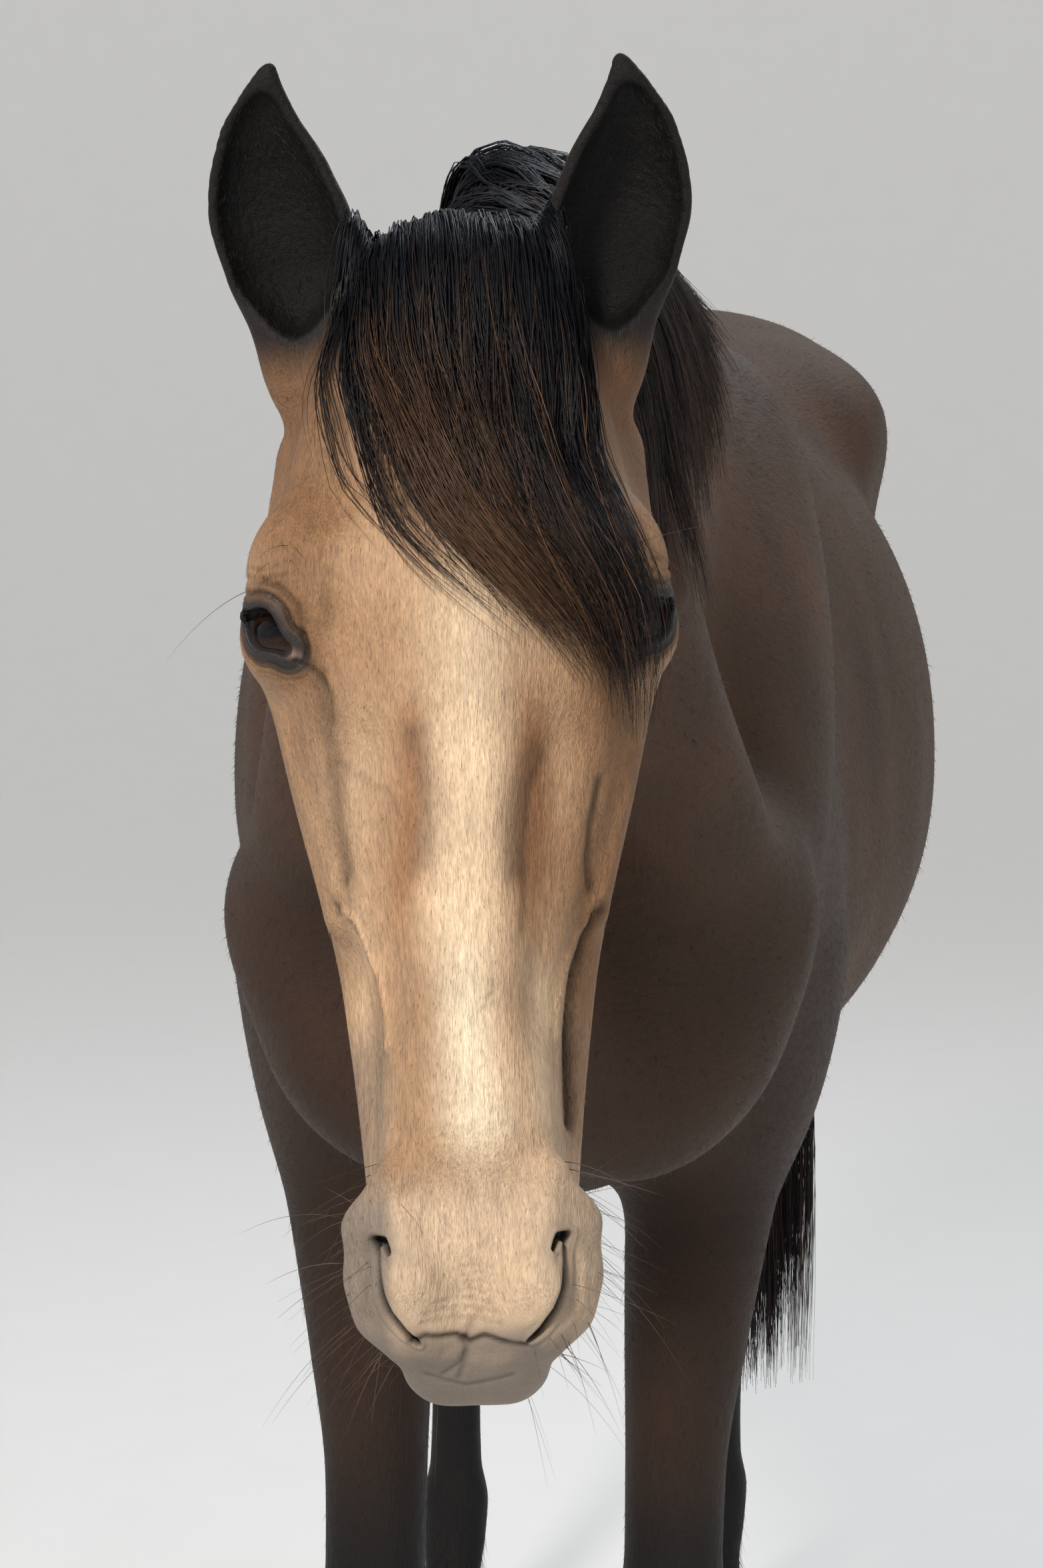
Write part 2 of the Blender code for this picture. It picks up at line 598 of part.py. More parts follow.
def grid_field(axes, shapes):
    """The field on a block of cells, where each shape is worked out only near itself."""
    value = np.full([len(axis) for axis in axes], 0.2, np.float32)
    for shape, soft, hollow in shapes:
        low, high = shape.bounds()
        part = []
        for axis, least, most in zip(axes, low - 1.5 * soft - 0.05, high + 1.5 * soft + 0.05):
            part.append(slice(*np.searchsorted(axis, (least, most))))
        if any(p.stop <= p.start for p in part):
            continue
        i, j, k = part
        x, y, z = axes[0][i, None, None], axes[1][None, j, None], axes[2][None, None, k]
        there = shape.distance(x, y, z)
        block = value[i, j, k]
        block = smooth_max(block, -there, soft) if hollow else smooth_min(block, there, soft)
        value[i, j, k] = block
    return value


def meshed(name, shapes, low, high, cell):
    """A closed mesh object of the shapes' surface inside a box."""
    axes = [np.arange(a, b + cell, cell, dtype=np.float32) for a, b in zip(low, high)]
    value = grid_field(axes, shapes)
    for axis in range(3):
        edge = np.moveaxis(value, axis, 0)
        edge[0] = np.maximum(edge[0], cell)
        edge[-1] = np.maximum(edge[-1], cell)
    grid = openvdb.FloatGrid(0.2)
    grid.copyFromArray(value)
    points, quads = grid.convertToQuads(isovalue=0.0)
    mesh = bpy.data.meshes.new(name)
    mesh.from_pydata((points * cell + np.array(low)).tolist(), [], quads[:, ::-1].tolist())
    mesh.validate()
    obj = bpy.data.objects.new(name, mesh)
    keep_largest(obj)
    return obj


def in_bmesh(obj, work):
    """Edits an object's mesh through a bmesh."""
    mesh = bmesh.new()
    mesh.from_mesh(obj.data)
    work(mesh)
    mesh.to_mesh(obj.data)
    mesh.free()
    return obj


def built(name, work):
    """A new object whose mesh the function makes in an empty bmesh."""
    return in_bmesh(bpy.data.objects.new(name, bpy.data.meshes.new(name)), work)


def copied(obj, name):
    twin = obj.copy()
    twin.data = obj.data.copy()
    twin.name = name
    return twin


def shells(mesh):
    """The mesh's separate closed surfaces, as lists of faces."""
    left, found = set(mesh.faces), []
    while left:
        stack = [left.pop()]
        shell = []
        while stack:
            face = stack.pop()
            shell.append(face)
            for edge in face.edges:
                for other in edge.link_faces:
                    if other in left:
                        left.remove(other)
                        stack.append(other)
        found.append(shell)
    return found


def unpinch(mesh):
    """Collapses each edge where a surface touches itself, which four faces share."""
    bmesh.ops.remove_doubles(mesh, verts=mesh.verts, dist=MERGE)
    for _ in range(4):
        pinched = [edge for edge in mesh.edges if len(edge.link_faces) > 2]
        if not pinched:
            break
        bmesh.ops.collapse(mesh, edges=pinched)
        bmesh.ops.dissolve_degenerate(mesh, edges=mesh.edges, dist=MERGE)


def keep_largest(obj):
    """Drops every surface but the one with the most faces."""

    def work(mesh):
        unpinch(mesh)
        found = sorted(shells(mesh), key=len)
        scraps = [face for shell in found[:-1] for face in shell]
        bmesh.ops.delete(mesh, geom=scraps, context="FACES")
        bmesh.ops.recalc_face_normals(mesh, faces=mesh.faces)

    return in_bmesh(obj, work)


def applied(obj):
    """Replaces an object's mesh with what its modifiers make of it."""
    bpy.context.scene.collection.objects.link(obj)
    graph = bpy.context.evaluated_depsgraph_get()
    made = bpy.data.meshes.new_from_object(obj.evaluated_get(graph))
    obj.modifiers.clear()
    obj.data = made
    bpy.context.scene.collection.objects.unlink(obj)
    return obj


def thinned(obj, triangles):
    """Decimates an object to about this many triangles."""
    now = sum(len(face.vertices) - 2 for face in obj.data.polygons)
    modifier = obj.modifiers.new("Fewer faces", "DECIMATE")
    modifier.ratio = min(1.0, triangles / now)
    return keep_largest(applied(obj))


def parted(obj, plane, keep, gap=GAP / 2):
    """Keeps what lies in front of (keep 1) or behind (keep -1) a plane, less half the gap."""
    normal = Vector(plane[1]).normalized() * -keep
    point = Vector(plane[0]) - normal * gap

    def work(mesh):
        geometry = mesh.verts[:] + mesh.edges[:] + mesh.faces[:]
        bmesh.ops.bisect_plane(
            mesh, geom=geometry, plane_co=point, plane_no=normal, clear_outer=True, dist=1e-6
        )
        rim = [edge for edge in mesh.edges if edge.is_boundary]
        bmesh.ops.triangle_fill(mesh, edges=rim, use_beauty=True)
        bmesh.ops.recalc_face_normals(mesh, faces=mesh.faces)

    return keep_largest(in_bmesh(obj, work))


def cut(obj, cutter, operation="DIFFERENCE", solver="EXACT"):
    """Cuts an object with a closed cutter and keeps its largest piece."""
    modifier = obj.modifiers.new("Cut", "BOOLEAN")
    modifier.object = cutter
    modifier.operation = operation
    modifier.solver = solver
    return keep_largest(applied(obj))


def fused(obj, pieces):
    """Joins closed pieces to an object in one union, then removes them."""
    gathered = bpy.data.collections.new("Pieces")
    bpy.context.scene.collection.children.link(gathered)
    for piece in pieces:
        gathered.objects.link(piece)
    modifier = obj.modifiers.new("Fuse", "BOOLEAN")
    modifier.operand_type = "COLLECTION"
    modifier.collection = gathered
    modifier.operation = "UNION"
    modifier.solver = "MANIFOLD"
    applied(obj)
    for piece in pieces:
        bpy.data.objects.remove(piece)
    bpy.data.collections.remove(gathered)
    return keep_largest(obj)


def block(name, place, low, high):
    """A box cutter in a frame."""

    def work(mesh):
        made = bmesh.ops.create_cube(mesh, size=1)
        for vertex in made["verts"]:
            vertex.co = to_world([b if c > 0 else a for a, b, c in zip(low, high, vertex.co)], place)
        mesh.normal_update()
        bmesh.ops.recalc_face_normals(mesh, faces=mesh.faces)

    return helper(built(name, work))


def helper(obj):
    """Marks an object as a cutter, left out of the horse itself."""
    bpy.data.collections[CUTTERS].objects.link(obj)
    obj.hide_render = True
    obj.display_type = "WIRE"
    return obj


def leg_block(name, side, lift=0.0):
    """The space that a leg fills below a sloping cut through the flesh of its top."""
    rise, outward, slope, start, end, middle = FORE_ROOM if name.startswith("fore") else HIND_ROOM

    def work(mesh):
        made = bmesh.ops.create_cube(mesh, size=1)
        for vertex in made["verts"]:
            out = INNER_EDGE if vertex.co.x * side < 0 else OUTER_EDGE
            along = start if vertex.co.y < 0 else end
            top = rise + outward * (out - INNER_EDGE) + slope * (along - middle) + lift
            vertex.co = Vector((side * out, along, top if vertex.co.z > 0 else -0.10))
        mesh.normal_update()
        bmesh.ops.recalc_face_normals(mesh, faces=mesh.faces)

    return helper(built("cut " + name + (" gap" if lift else ""), work))


def tail_block(name, grow):
    """The space behind the croup that the tail fills."""
    cut_at, normal = (Vector(part) for part in TAIL_CUT)
    rise = Vector((0, -normal.z, normal.y))
    outline = [cut_at - normal * grow + rise * reach for reach in TAIL_CUT_REACH]
    outline += [Vector((0, *point)) for point in TAIL_SPACE]
    rings = [[Vector((x, point.y, point.z)) for point in outline] for x in TAIL_SPACE_SIDES]
    return helper(lofted(name, rings))


def ball(name, centre, facing, radius):
    """A ball with its pole at the front."""

    def work(mesh):
        turn = Vector((0, 0, 1)).rotation_difference(facing).to_matrix().to_4x4()
        place = Matrix.Translation(centre) @ turn
        bmesh.ops.create_uvsphere(mesh, u_segments=14, v_segments=8, radius=radius, matrix=place)

    return built(name, work)


def lofted(name, rings):
    """A closed mesh through rings of as many points each, with flat ends."""

    def work(mesh):
        rows = [[mesh.verts.new(point) for point in ring] for ring in rings]
        for row, after in zip(rows, rows[1:]):
            for i in range(len(row)):
                j = (i + 1) % len(row)
                mesh.faces.new((row[i], row[j], after[j], after[i]))
        mesh.faces.new(reversed(rows[0]))
        mesh.faces.new(rows[-1])
        bmesh.ops.triangulate(mesh, faces=mesh.faces)
        bmesh.ops.recalc_face_normals(mesh, faces=mesh.faces)

    return built(name, work)


def surface(points):
    """Distance to the flesh at each point and the outward direction there."""
    step = 0.004
    x, y, z = points.T
    here = field(x, y, z, FLESH_AND_EYES)
    away = np.stack(
        [
            field(x + step, y, z, FLESH_AND_EYES) - here,
            field(x, y + step, z, FLESH_AND_EYES) - here,
            field(x, y, z + step, FLESH_AND_EYES) - here,
        ],
        axis=1,
    )
    return here, away / np.maximum(np.linalg.norm(away, axis=1), 1e-6)[:, None]


def draped(roots, starts, lengths, pull, clearance, steps=18):
    """Paths of hair that leave their roots in the start directions and fall along the flesh.

    The pull is added to the direction at each step, and the clearance is how far the path
    keeps from the flesh, from the root to the tip.
    """
    point = np.array(roots, float)
    way = np.array(starts, float)
    way /= np.linalg.norm(way, axis=1)[:, None]
    pull = np.broadcast_to(np.array(pull, float), point.shape)
    step = (np.array(lengths, float) / steps)[:, None]
    path, faces = [point.copy()], []
    for i in range(steps):
        keep = clearance[0] + (clearance[1] - clearance[0]) * min(1.0, 3 * (i + 1) / steps)
        way = way + pull
        way /= np.linalg.norm(way, axis=1)[:, None]
        moved = point + way * step
        here, out = surface(moved)
        moved = moved + out * np.maximum(keep - here, 0)[:, None]
        way = moved - point
        way /= np.linalg.norm(way, axis=1)[:, None]
        point = moved
        path.append(point.copy())
        faces.append(out)
    faces.insert(0, faces[0])
    return np.stack(path, axis=1), np.stack(faces, axis=1)


def material(name, colour, roughness):
    made = bpy.data.materials.new(name)
    made.use_nodes = True
    shader = made.node_tree.nodes["Principled BSDF"]
    shader.inputs["Base Color"].default_value = colour
    shader.inputs["Roughness"].default_value = roughness
    made.diffuse_color = colour
    return made


def hoof(name):
    """A skewed cone with a flat sole, under the sloping cut of its coronet."""
    _, x, y, _ = LEGS[name]
    ground = Vector((x, y - HOOF_BACK - HOOF_TOE, 0))
    crown = Vector((x, y - HOOF_BACK, CORONET - GAP))
    rings = []
    for share in (0, 0.12, 1):
        ring = []
        for i in range(HOOF_SIDES):
            angle = 2 * math.pi * i / HOOF_SIDES
            swell = 1 + 0.10 * math.cos(angle) * math.cos(angle / 2) ** 2
            wide = math.sin(angle) * (HOOF_HALF_WIDTH * (1 - share) + HOOF_TOP_RADIUS * share)
            length = HOOF_HALF_LENGTH * (swell - share) + HOOF_TOP_RADIUS * share
            ahead = math.cos(angle) * length
            middle = ground.lerp(crown, share)
            point = middle + Vector((wide, -ahead, 0))
            point.z += CORONET_SLOPE * ahead * share
            ring.append(point)
        rings.append(ring)
    return lofted(name, rings)


def coronet_plane(name):
    """The sloping cut between a foot and its hoof."""
    _, x, y, _ = LEGS[name]
    return (x, y - HOOF_BACK, CORONET), (0, CORONET_SLOPE, 1)



def lock(name, path, out, width, thick):
    """A flat, tapered lock along a path, widest near its root and pointed at its tip."""
    count = len(path)
    rings = []
    for i, (point, normal) in enumerate(zip(path, out)):
        share = i / (count - 1)
        along = Vector(path[min(i + 1, count - 1)] - path[max(i - 1, 0)]).normalized()
        normal = Vector(normal)
        across = along.cross(normal).normalized()
        normal = across.cross(along).normalized()
        half = width / 2 * (1.05 + 0.3 * share) * (1 - share**1.8) + 0.0012
        depth = thick / 2 * (1 - 0.8 * share) + 0.0004
        middle = Vector(point)
        rings.append([middle - across * half, middle + normal * depth,
                      middle + across * half, middle - normal * depth])
    return lofted(name, rings)


def picked(path, rings):
    """Some points of a finer path, closer together near its root."""
    return path[(np.linspace(0, 1, rings) ** 1.5 * (len(path) - 1)).round().astype(int)]


def mane_locks():
    """Locks in two layers that part from the crest and lie over the left of the neck."""
    draw = random.Random(MANE_SEED)
    roots, starts, lengths, layers = [], [], [], []
    for layer in range(2):
        for i in range(MANE_LOCKS // 2):
            share = (i + 0.5 * layer + draw.uniform(-0.2, 0.2)) / (MANE_LOCKS // 2 - 0.5)
            y = MANE_START + (MANE_END - MANE_START) * share
            roots.append((0.010 - 0.004 * layer, y, 0))
            starts.append((1, draw.uniform(-0.15, 0.10), 0.25))
            lengths.append(draw.uniform(0.27, 0.36) * (1 - 0.25 * share))
            layers.append(layer)
    roots, layers = np.array(roots), np.array(layers)
    roots[:, 0] += crest_x(roots[:, 1])
    roots[:, 2] = crest_height(roots[:, 1]) - 0.012
    sway = [(0, draw.uniform(-0.14, 0.12), -0.85) for _ in roots]
    clearance = 0.002 + 0.004 * layers, 0.010 + 0.012 * layers
    path, out = draped(roots, starts, lengths, sway, clearance)
    return [
        lock(f"mane {i}", picked(path[i], LOCK_RINGS), picked(out[i], LOCK_RINGS),
             draw.uniform(0.050, 0.060), 0.008)
        for i in range(len(roots))
    ]


def forelock_locks():
    """Locks in three layers from the poll, across the forehead and over the left eye."""
    draw = random.Random(FORELOCK_SEED)
    roots, starts, lengths, pulls, layers = [], [], [], [], []
    for layer in range(3):
        for i in range(FORELOCK_LOCKS // 3):
            share = (i + layer / 3) / (FORELOCK_LOCKS // 3 - 1 / 3)
            out = -0.042 + 0.082 * share
            roots.append(to_world((out, -0.020, 0.012 - 0.016 * layer), HEAD))
            starts.append(np.array((0.20, 0.60, 0.70)) @ HEAD[1])
            lengths.append(draw.uniform(0.27, 0.34) - 0.05 * (1 - share))
            drift = 0.105 - 0.050 * share + draw.uniform(-0.012, 0.012)
            pulls.append(np.array((drift, 0.0, 0.30)) @ HEAD[1])
            layers.append(layer)
    layers = np.array(layers)
    clearance = 0.002 + 0.0035 * layers, 0.0085 + 0.0075 * layers
    path, out = draped(roots, starts, lengths, pulls, clearance)
    return [
        lock(f"forelock {i}", picked(path[i], LOCK_RINGS), picked(out[i], LOCK_RINGS),
             draw.uniform(0.024, 0.030), 0.0055)
        for i in range(len(roots))
    ]


# Each station of the tail is (height, lateral, y, half width, half depth).
TAIL = np.array([
    (1.415, 0.002, 1.628, 0.030, 0.024),
    (1.355, 0.008, 1.652, 0.042, 0.034),
    (1.270, 0.024, 1.672, 0.049, 0.038),
    (1.150, 0.046, 1.688, 0.057, 0.042),
    (0.940, 0.085, 1.698, 0.062, 0.044),
    (0.650, 0.125, 1.690, 0.066, 0.044),
    (0.350, 0.152, 1.680, 0.056, 0.036),
])


def tail_station(share):
    """Middle, half width and half depth of the tail, from the dock (0) to the tips (1)."""
    knots = (TAIL[0, 0] - TAIL[:, 0]) / (TAIL[0, 0] - TAIL[-1, 0])
    z, x, y, wide, deep = (smooth_through(knots, column, np.array(share)) for column in TAIL.T)
    return np.stack([x, y, z], axis=-1), wide, deep


def tail_locks():
    """Three shells of locks around the dock, the inner ones longer and rooted lower."""
    draw = random.Random(TAIL_SEED)
    locks = []
    for tier, (start, end, reach) in enumerate(TAIL_TIERS):
        for i in range(TAIL_LOCKS // 3):
            angle = 2 * math.pi * (i + tier / 2 + draw.uniform(-0.1, 0.1)) / (TAIL_LOCKS // 3)
            swirl = draw.uniform(-0.15, 0.15)
            last = end - draw.uniform(0, 0.10)
            share = np.linspace(start + draw.uniform(0, 0.04), last, LOCK_RINGS + 1)
            middle, wide, deep = tail_station(share)
            run = (share - share[0]) / (share[-1] - share[0])
            turned = angle + swirl * run
            spread = reach * (0.55 + 0.45 * np.clip(run * 5, 0, 1))
            side = np.stack([np.cos(turned), np.sin(turned), np.zeros_like(turned)], axis=1)
            path = middle + side * np.stack([wide, deep, deep], axis=1) * spread[:, None]
            width = draw.uniform(0.052, 0.062) * (0.55 + 0.45 * reach)
            locks.append(lock(f"tail {tier} {i}", path, side, width, 0.009))
    return locks


def crest_height(y):
    """Height of the flesh on the middle line of the neck."""
    heights = np.full(len(y), 1.30)
    top = np.full(len(y), 1.80)
    for _ in range(18):
        middle = (heights + top) / 2
        inside = field(crest_x(y), y, middle, FLESH) < 0
        heights = np.where(inside, middle, heights)
        top = np.where(inside, top, middle)
    return heights


def crest_x(y):
    """The middle line of the neck, which bends a little to the left towards the poll."""
    return np.interp(y, (NECK_TOP.y, NECK_BASE.y), (NECK_TOP.x, NECK_BASE.x))


def finish(obj, name, look):
    """Names a piece of the horse and gives it its one material."""
    obj.name = name
    obj.data.name = name
    obj.data.materials.clear()
    obj.data.materials.append(look)
    bpy.data.collections[HORSE].objects.link(obj)


def add_legs(torso, coat, points, horn):
    """Parts the legs from the torso and each leg at its joint, and sets it on its hoof."""
    for name, (stations, x, y, _) in LEGS.items():
        side = math.copysign(1, x)
        cut(torso, leg_block(name, side, GAP))
        across = sorted((0.01 * side, 0.30 * side))
        low, high = (across[0], y - 0.26, -0.02), (across[1], y + 0.24, 1.06)
        leg = thinned(meshed(name, FLESH, low, high, LEG_CELL), LEG_TRIANGLES)
        leg = cut(leg, leg_block(name, side), "INTERSECT")
        fore = stations is FORE_LEG
        joint = (x, y, KNEE_CUT if fore else HOCK_CUT), (0, 0, 1)
        limb = "foreleg" if fore else "hindleg"
        where = "left" if side > 0 else "right"
        finish(parted(copied(leg, name), joint, 1), f"{limb}_upper_{where}", coat)
        finish(parted(parted(leg, joint, -1), coronet_plane(name), 1), f"{limb}_lower_{where}", points)
        finish(hoof(name), f"hoof_{name}", horn)


def add_ears_and_eyes(head, neck, points, eye_shine):
    """Sets an ear and an eye on each side, each in a gap cut for it."""
    for side, where in ((1, "left"), (-1, "right")):
        place = ear_frame(side)
        ear_gap = block(f"cut ear {where} gap", place, [least - GAP for least in EAR_LOW], EAR_HIGH)
        cut(head, ear_gap)
        cut(neck, ear_gap)
        lowest, highest = Sweep(EAR, place).bounds()
        ear = meshed("ear", FLESH, lowest - 0.01, highest + 0.01, EAR_CELL)
        ear_room = block(f"cut ear {where}", place, EAR_LOW, EAR_HIGH)
        ear = cut(thinned(ear, EAR_TRIANGLES), ear_room, "INTERSECT")
        mirror = Vector((side, 1, 1))
        centre, facing = to_world(EYE * mirror, HEAD), Vector(np.array(EYE_FACING * mirror) @ HEAD[1])
        cut(head, helper(ball(f"cut eye {where}", centre, facing, EYE_RADIUS + 1.5 * GAP)))
        finish(ear, f"ear_{where}", points)
        finish(ball(f"eye_{where}", centre, facing, EYE_RADIUS), f"eye_{where}", eye_shine)


def main():
    for obj in list(bpy.data.objects):
        bpy.data.objects.remove(obj)
    for name in (HORSE, CUTTERS):
        bpy.context.scene.collection.children.link(bpy.data.collections.new(name))

    coat = material("Coat", COAT, 0.55)
    face_coat = material("Face coat", FACE_COAT, 0.6)
    points = material("Black points", POINTS, 0.5)
    hair = material("Long hair", HAIR, 0.4)
    horn = material("Hoof horn", HORN, 0.5)
    eye_shine = material("Eye", EYE_COLOUR, 0.05)

    body = meshed("body", FLESH, (-0.45, -0.60, 0.30), (0.45, 1.80, 1.66), BODY_CELL)
    body = thinned(body, BODY_TRIANGLES)
    torso = cut(copied(body, "torso"), tail_block("cut tail gap", GAP), solver="MANIFOLD")
    tail = cut(copied(body, "tail"), tail_block("cut tail", 0), "INTERSECT", "MANIFOLD")
    torso = parted(torso, NECK_CUT, -1)
    neck = parted(parted(copied(body, "neck"), NECK_CUT, 1), HEAD_CUT, -1)
    head = meshed("head", FLESH, (-0.16, -0.86, 0.90), (0.20, -0.16, 1.64), HEAD_CELL)
    head = parted(thinned(head, HEAD_TRIANGLES), HEAD_CUT, 1)
    bpy.data.objects.remove(body)

    add_legs(torso, coat, points, horn)
    add_ears_and_eyes(head, neck, points, eye_shine)
    finish(torso, "torso", coat)
    finish(fused(tail, tail_locks()), "tail", hair)
    finish(fused(neck, mane_locks()), "neck", coat)
    finish(fused(head, forelock_locks()), "head", face_coat)
    for name in (HORSE, CUTTERS):
        for obj in bpy.data.collections[name].objects:
            obj.data.transform(Matrix.Translation((0, -CENTRE_Y, 0)))


if __name__ == "__main__":
    main()
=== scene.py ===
"""An Andalusian horse in a pale studio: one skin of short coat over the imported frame, with a
mane, forelock, tail, lashes and whiskers of fine strands, wet dark eyes and horn hooves.
"""

import math

import bmesh
import bpy
import numpy as np
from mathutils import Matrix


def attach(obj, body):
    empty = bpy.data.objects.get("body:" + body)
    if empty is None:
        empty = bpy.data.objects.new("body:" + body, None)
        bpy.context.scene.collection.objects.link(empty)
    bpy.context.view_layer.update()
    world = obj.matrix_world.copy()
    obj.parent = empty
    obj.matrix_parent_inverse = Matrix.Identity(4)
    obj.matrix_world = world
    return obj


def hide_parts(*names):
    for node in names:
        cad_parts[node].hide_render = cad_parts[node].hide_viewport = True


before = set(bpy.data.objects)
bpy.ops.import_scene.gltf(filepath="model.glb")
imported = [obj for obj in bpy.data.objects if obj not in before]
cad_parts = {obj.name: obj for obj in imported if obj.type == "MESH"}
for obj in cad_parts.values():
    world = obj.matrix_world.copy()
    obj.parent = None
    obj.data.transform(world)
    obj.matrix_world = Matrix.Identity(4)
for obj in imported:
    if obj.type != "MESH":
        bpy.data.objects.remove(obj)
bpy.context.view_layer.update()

import openvdb
from mathutils import Matrix, Vector

# Metres. Along the body, y runs back from the point of the shoulder while shapes are made,
# and every finished piece is moved forward by CENTRE_Y into the frame's own place.
CENTRE_Y = 0.530
SKIN_DEPTH = 0.0012             # how far the skin lies inside the solids' surface
BARREL_HALF_WIDTH = 0.325
HEAD_PITCH = math.radians(22)   # face forward of the vertical
HEAD_TURN = math.radians(4)     # towards the horse's left
HEAD_ROLL = math.radians(-1.6)
POLL = Vector((0.001, -0.49, 1.515))
HEAD_LENGTH = 0.59

# Places in the head's frame are (out from the midline, out of the face, down from the poll).
EYE_RADIUS = 0.0235
EYE = Vector((0.0855, -0.040, 0.1975))
EYE_FACING = Vector((0.54, 0.84, 0.05)).normalized()
LID_WAY = Vector((-0.60, 0.36, 0.72)).normalized()     # from the back corner of the lids to the front one
EAR_LENGTH = 0.170
EAR_BASE = Vector((0.082, -0.072, 0.040))
EAR_AXIS = Vector((0.10, 0.50, -0.84)).normalized()
EAR_FACING = Vector((0.22, 0.86, 0.36)).normalized()

FORE_TOP = 1.020                # heights on a leg
HIND_TOP = 1.150

# The skin is one surface, made coarser behind the seam and finer on the head.
SEAM = ((0, -0.36, 1.55), (0, -0.909, -0.417))
SEAM_FLOOR = 1.10
BODY_CELL = 0.009
HEAD_CELL = 0.0027
SKIN_NODES = [
    "head", "neck", "torso", "ear_left", "ear_right",
    "foreleg_upper_left", "foreleg_upper_right", "foreleg_lower_left", "foreleg_lower_right",
    "hindleg_upper_left", "hindleg_upper_right", "hindleg_lower_left", "hindleg_lower_right",
]

CORONET = 0.062
CORONET_SLOPE = 0.36            # it rises towards the toe
HOOF_BACK = 0.011               # how far the hoof's middle is in front of its leg's foot
HOOF_TOE = 0.025                # and how much further at the floor
HOOF_HALF_WIDTH = 0.060
HOOF_HALF_LENGTH = 0.061
HOOF_TOP_RADIUS = 0.0505

# Each lock is a guide path with this many hairs round it, and each hair this many points.
MANE_SEED = 4
MANE_START = -0.350             # y of the first and last hairs
MANE_END = 0.232
MANE_LOCKS = 190
MANE_HAIRS = 25
MANE_POINTS = 12
MANE_HALF_WIDTH = 0.00064       # of one hair at its root
FORELOCK_SEED = 7
FORELOCK_LOCKS = 128
FORELOCK_HAIRS = 24
FORELOCK_POINTS = 20
FORELOCK_HALF_WIDTH = 0.00052
TAIL_SEED = 5
TAIL_LOCKS = 130
TAIL_HAIRS = 34
TAIL_POINTS = 13
TAIL_HALF_WIDTH = 0.0012
FUR_SEED = 9
WHISKER_SEED = 12
LASH_SEED = 15
PATCH = 0.003                   # size of a strand's place on the unwrap of the skin
STRAND_CORNERS = ((-1.0, -0.35), (1.0, -0.35), (0.0, 0.65))     # sideways and up, in half widths
PIECE_TRIANGLES = 190000        # the most in one piece of hair

# Places on the face are in the photo's pixels, from its top left, and lie on the flesh there.
PHOTO_SIZE = (1568, 2358)
FORELOCK_LEFT = [
    (535, 330), (530, 440), (540, 555), (600, 690), (655, 790), (745, 880), (850, 990), (905, 1060),
]
FORELOCK_RIGHT = [
    (835, 330), (868, 440), (882, 560), (882, 690), (925, 800), (968, 890), (985, 990), (965, 1080),
]
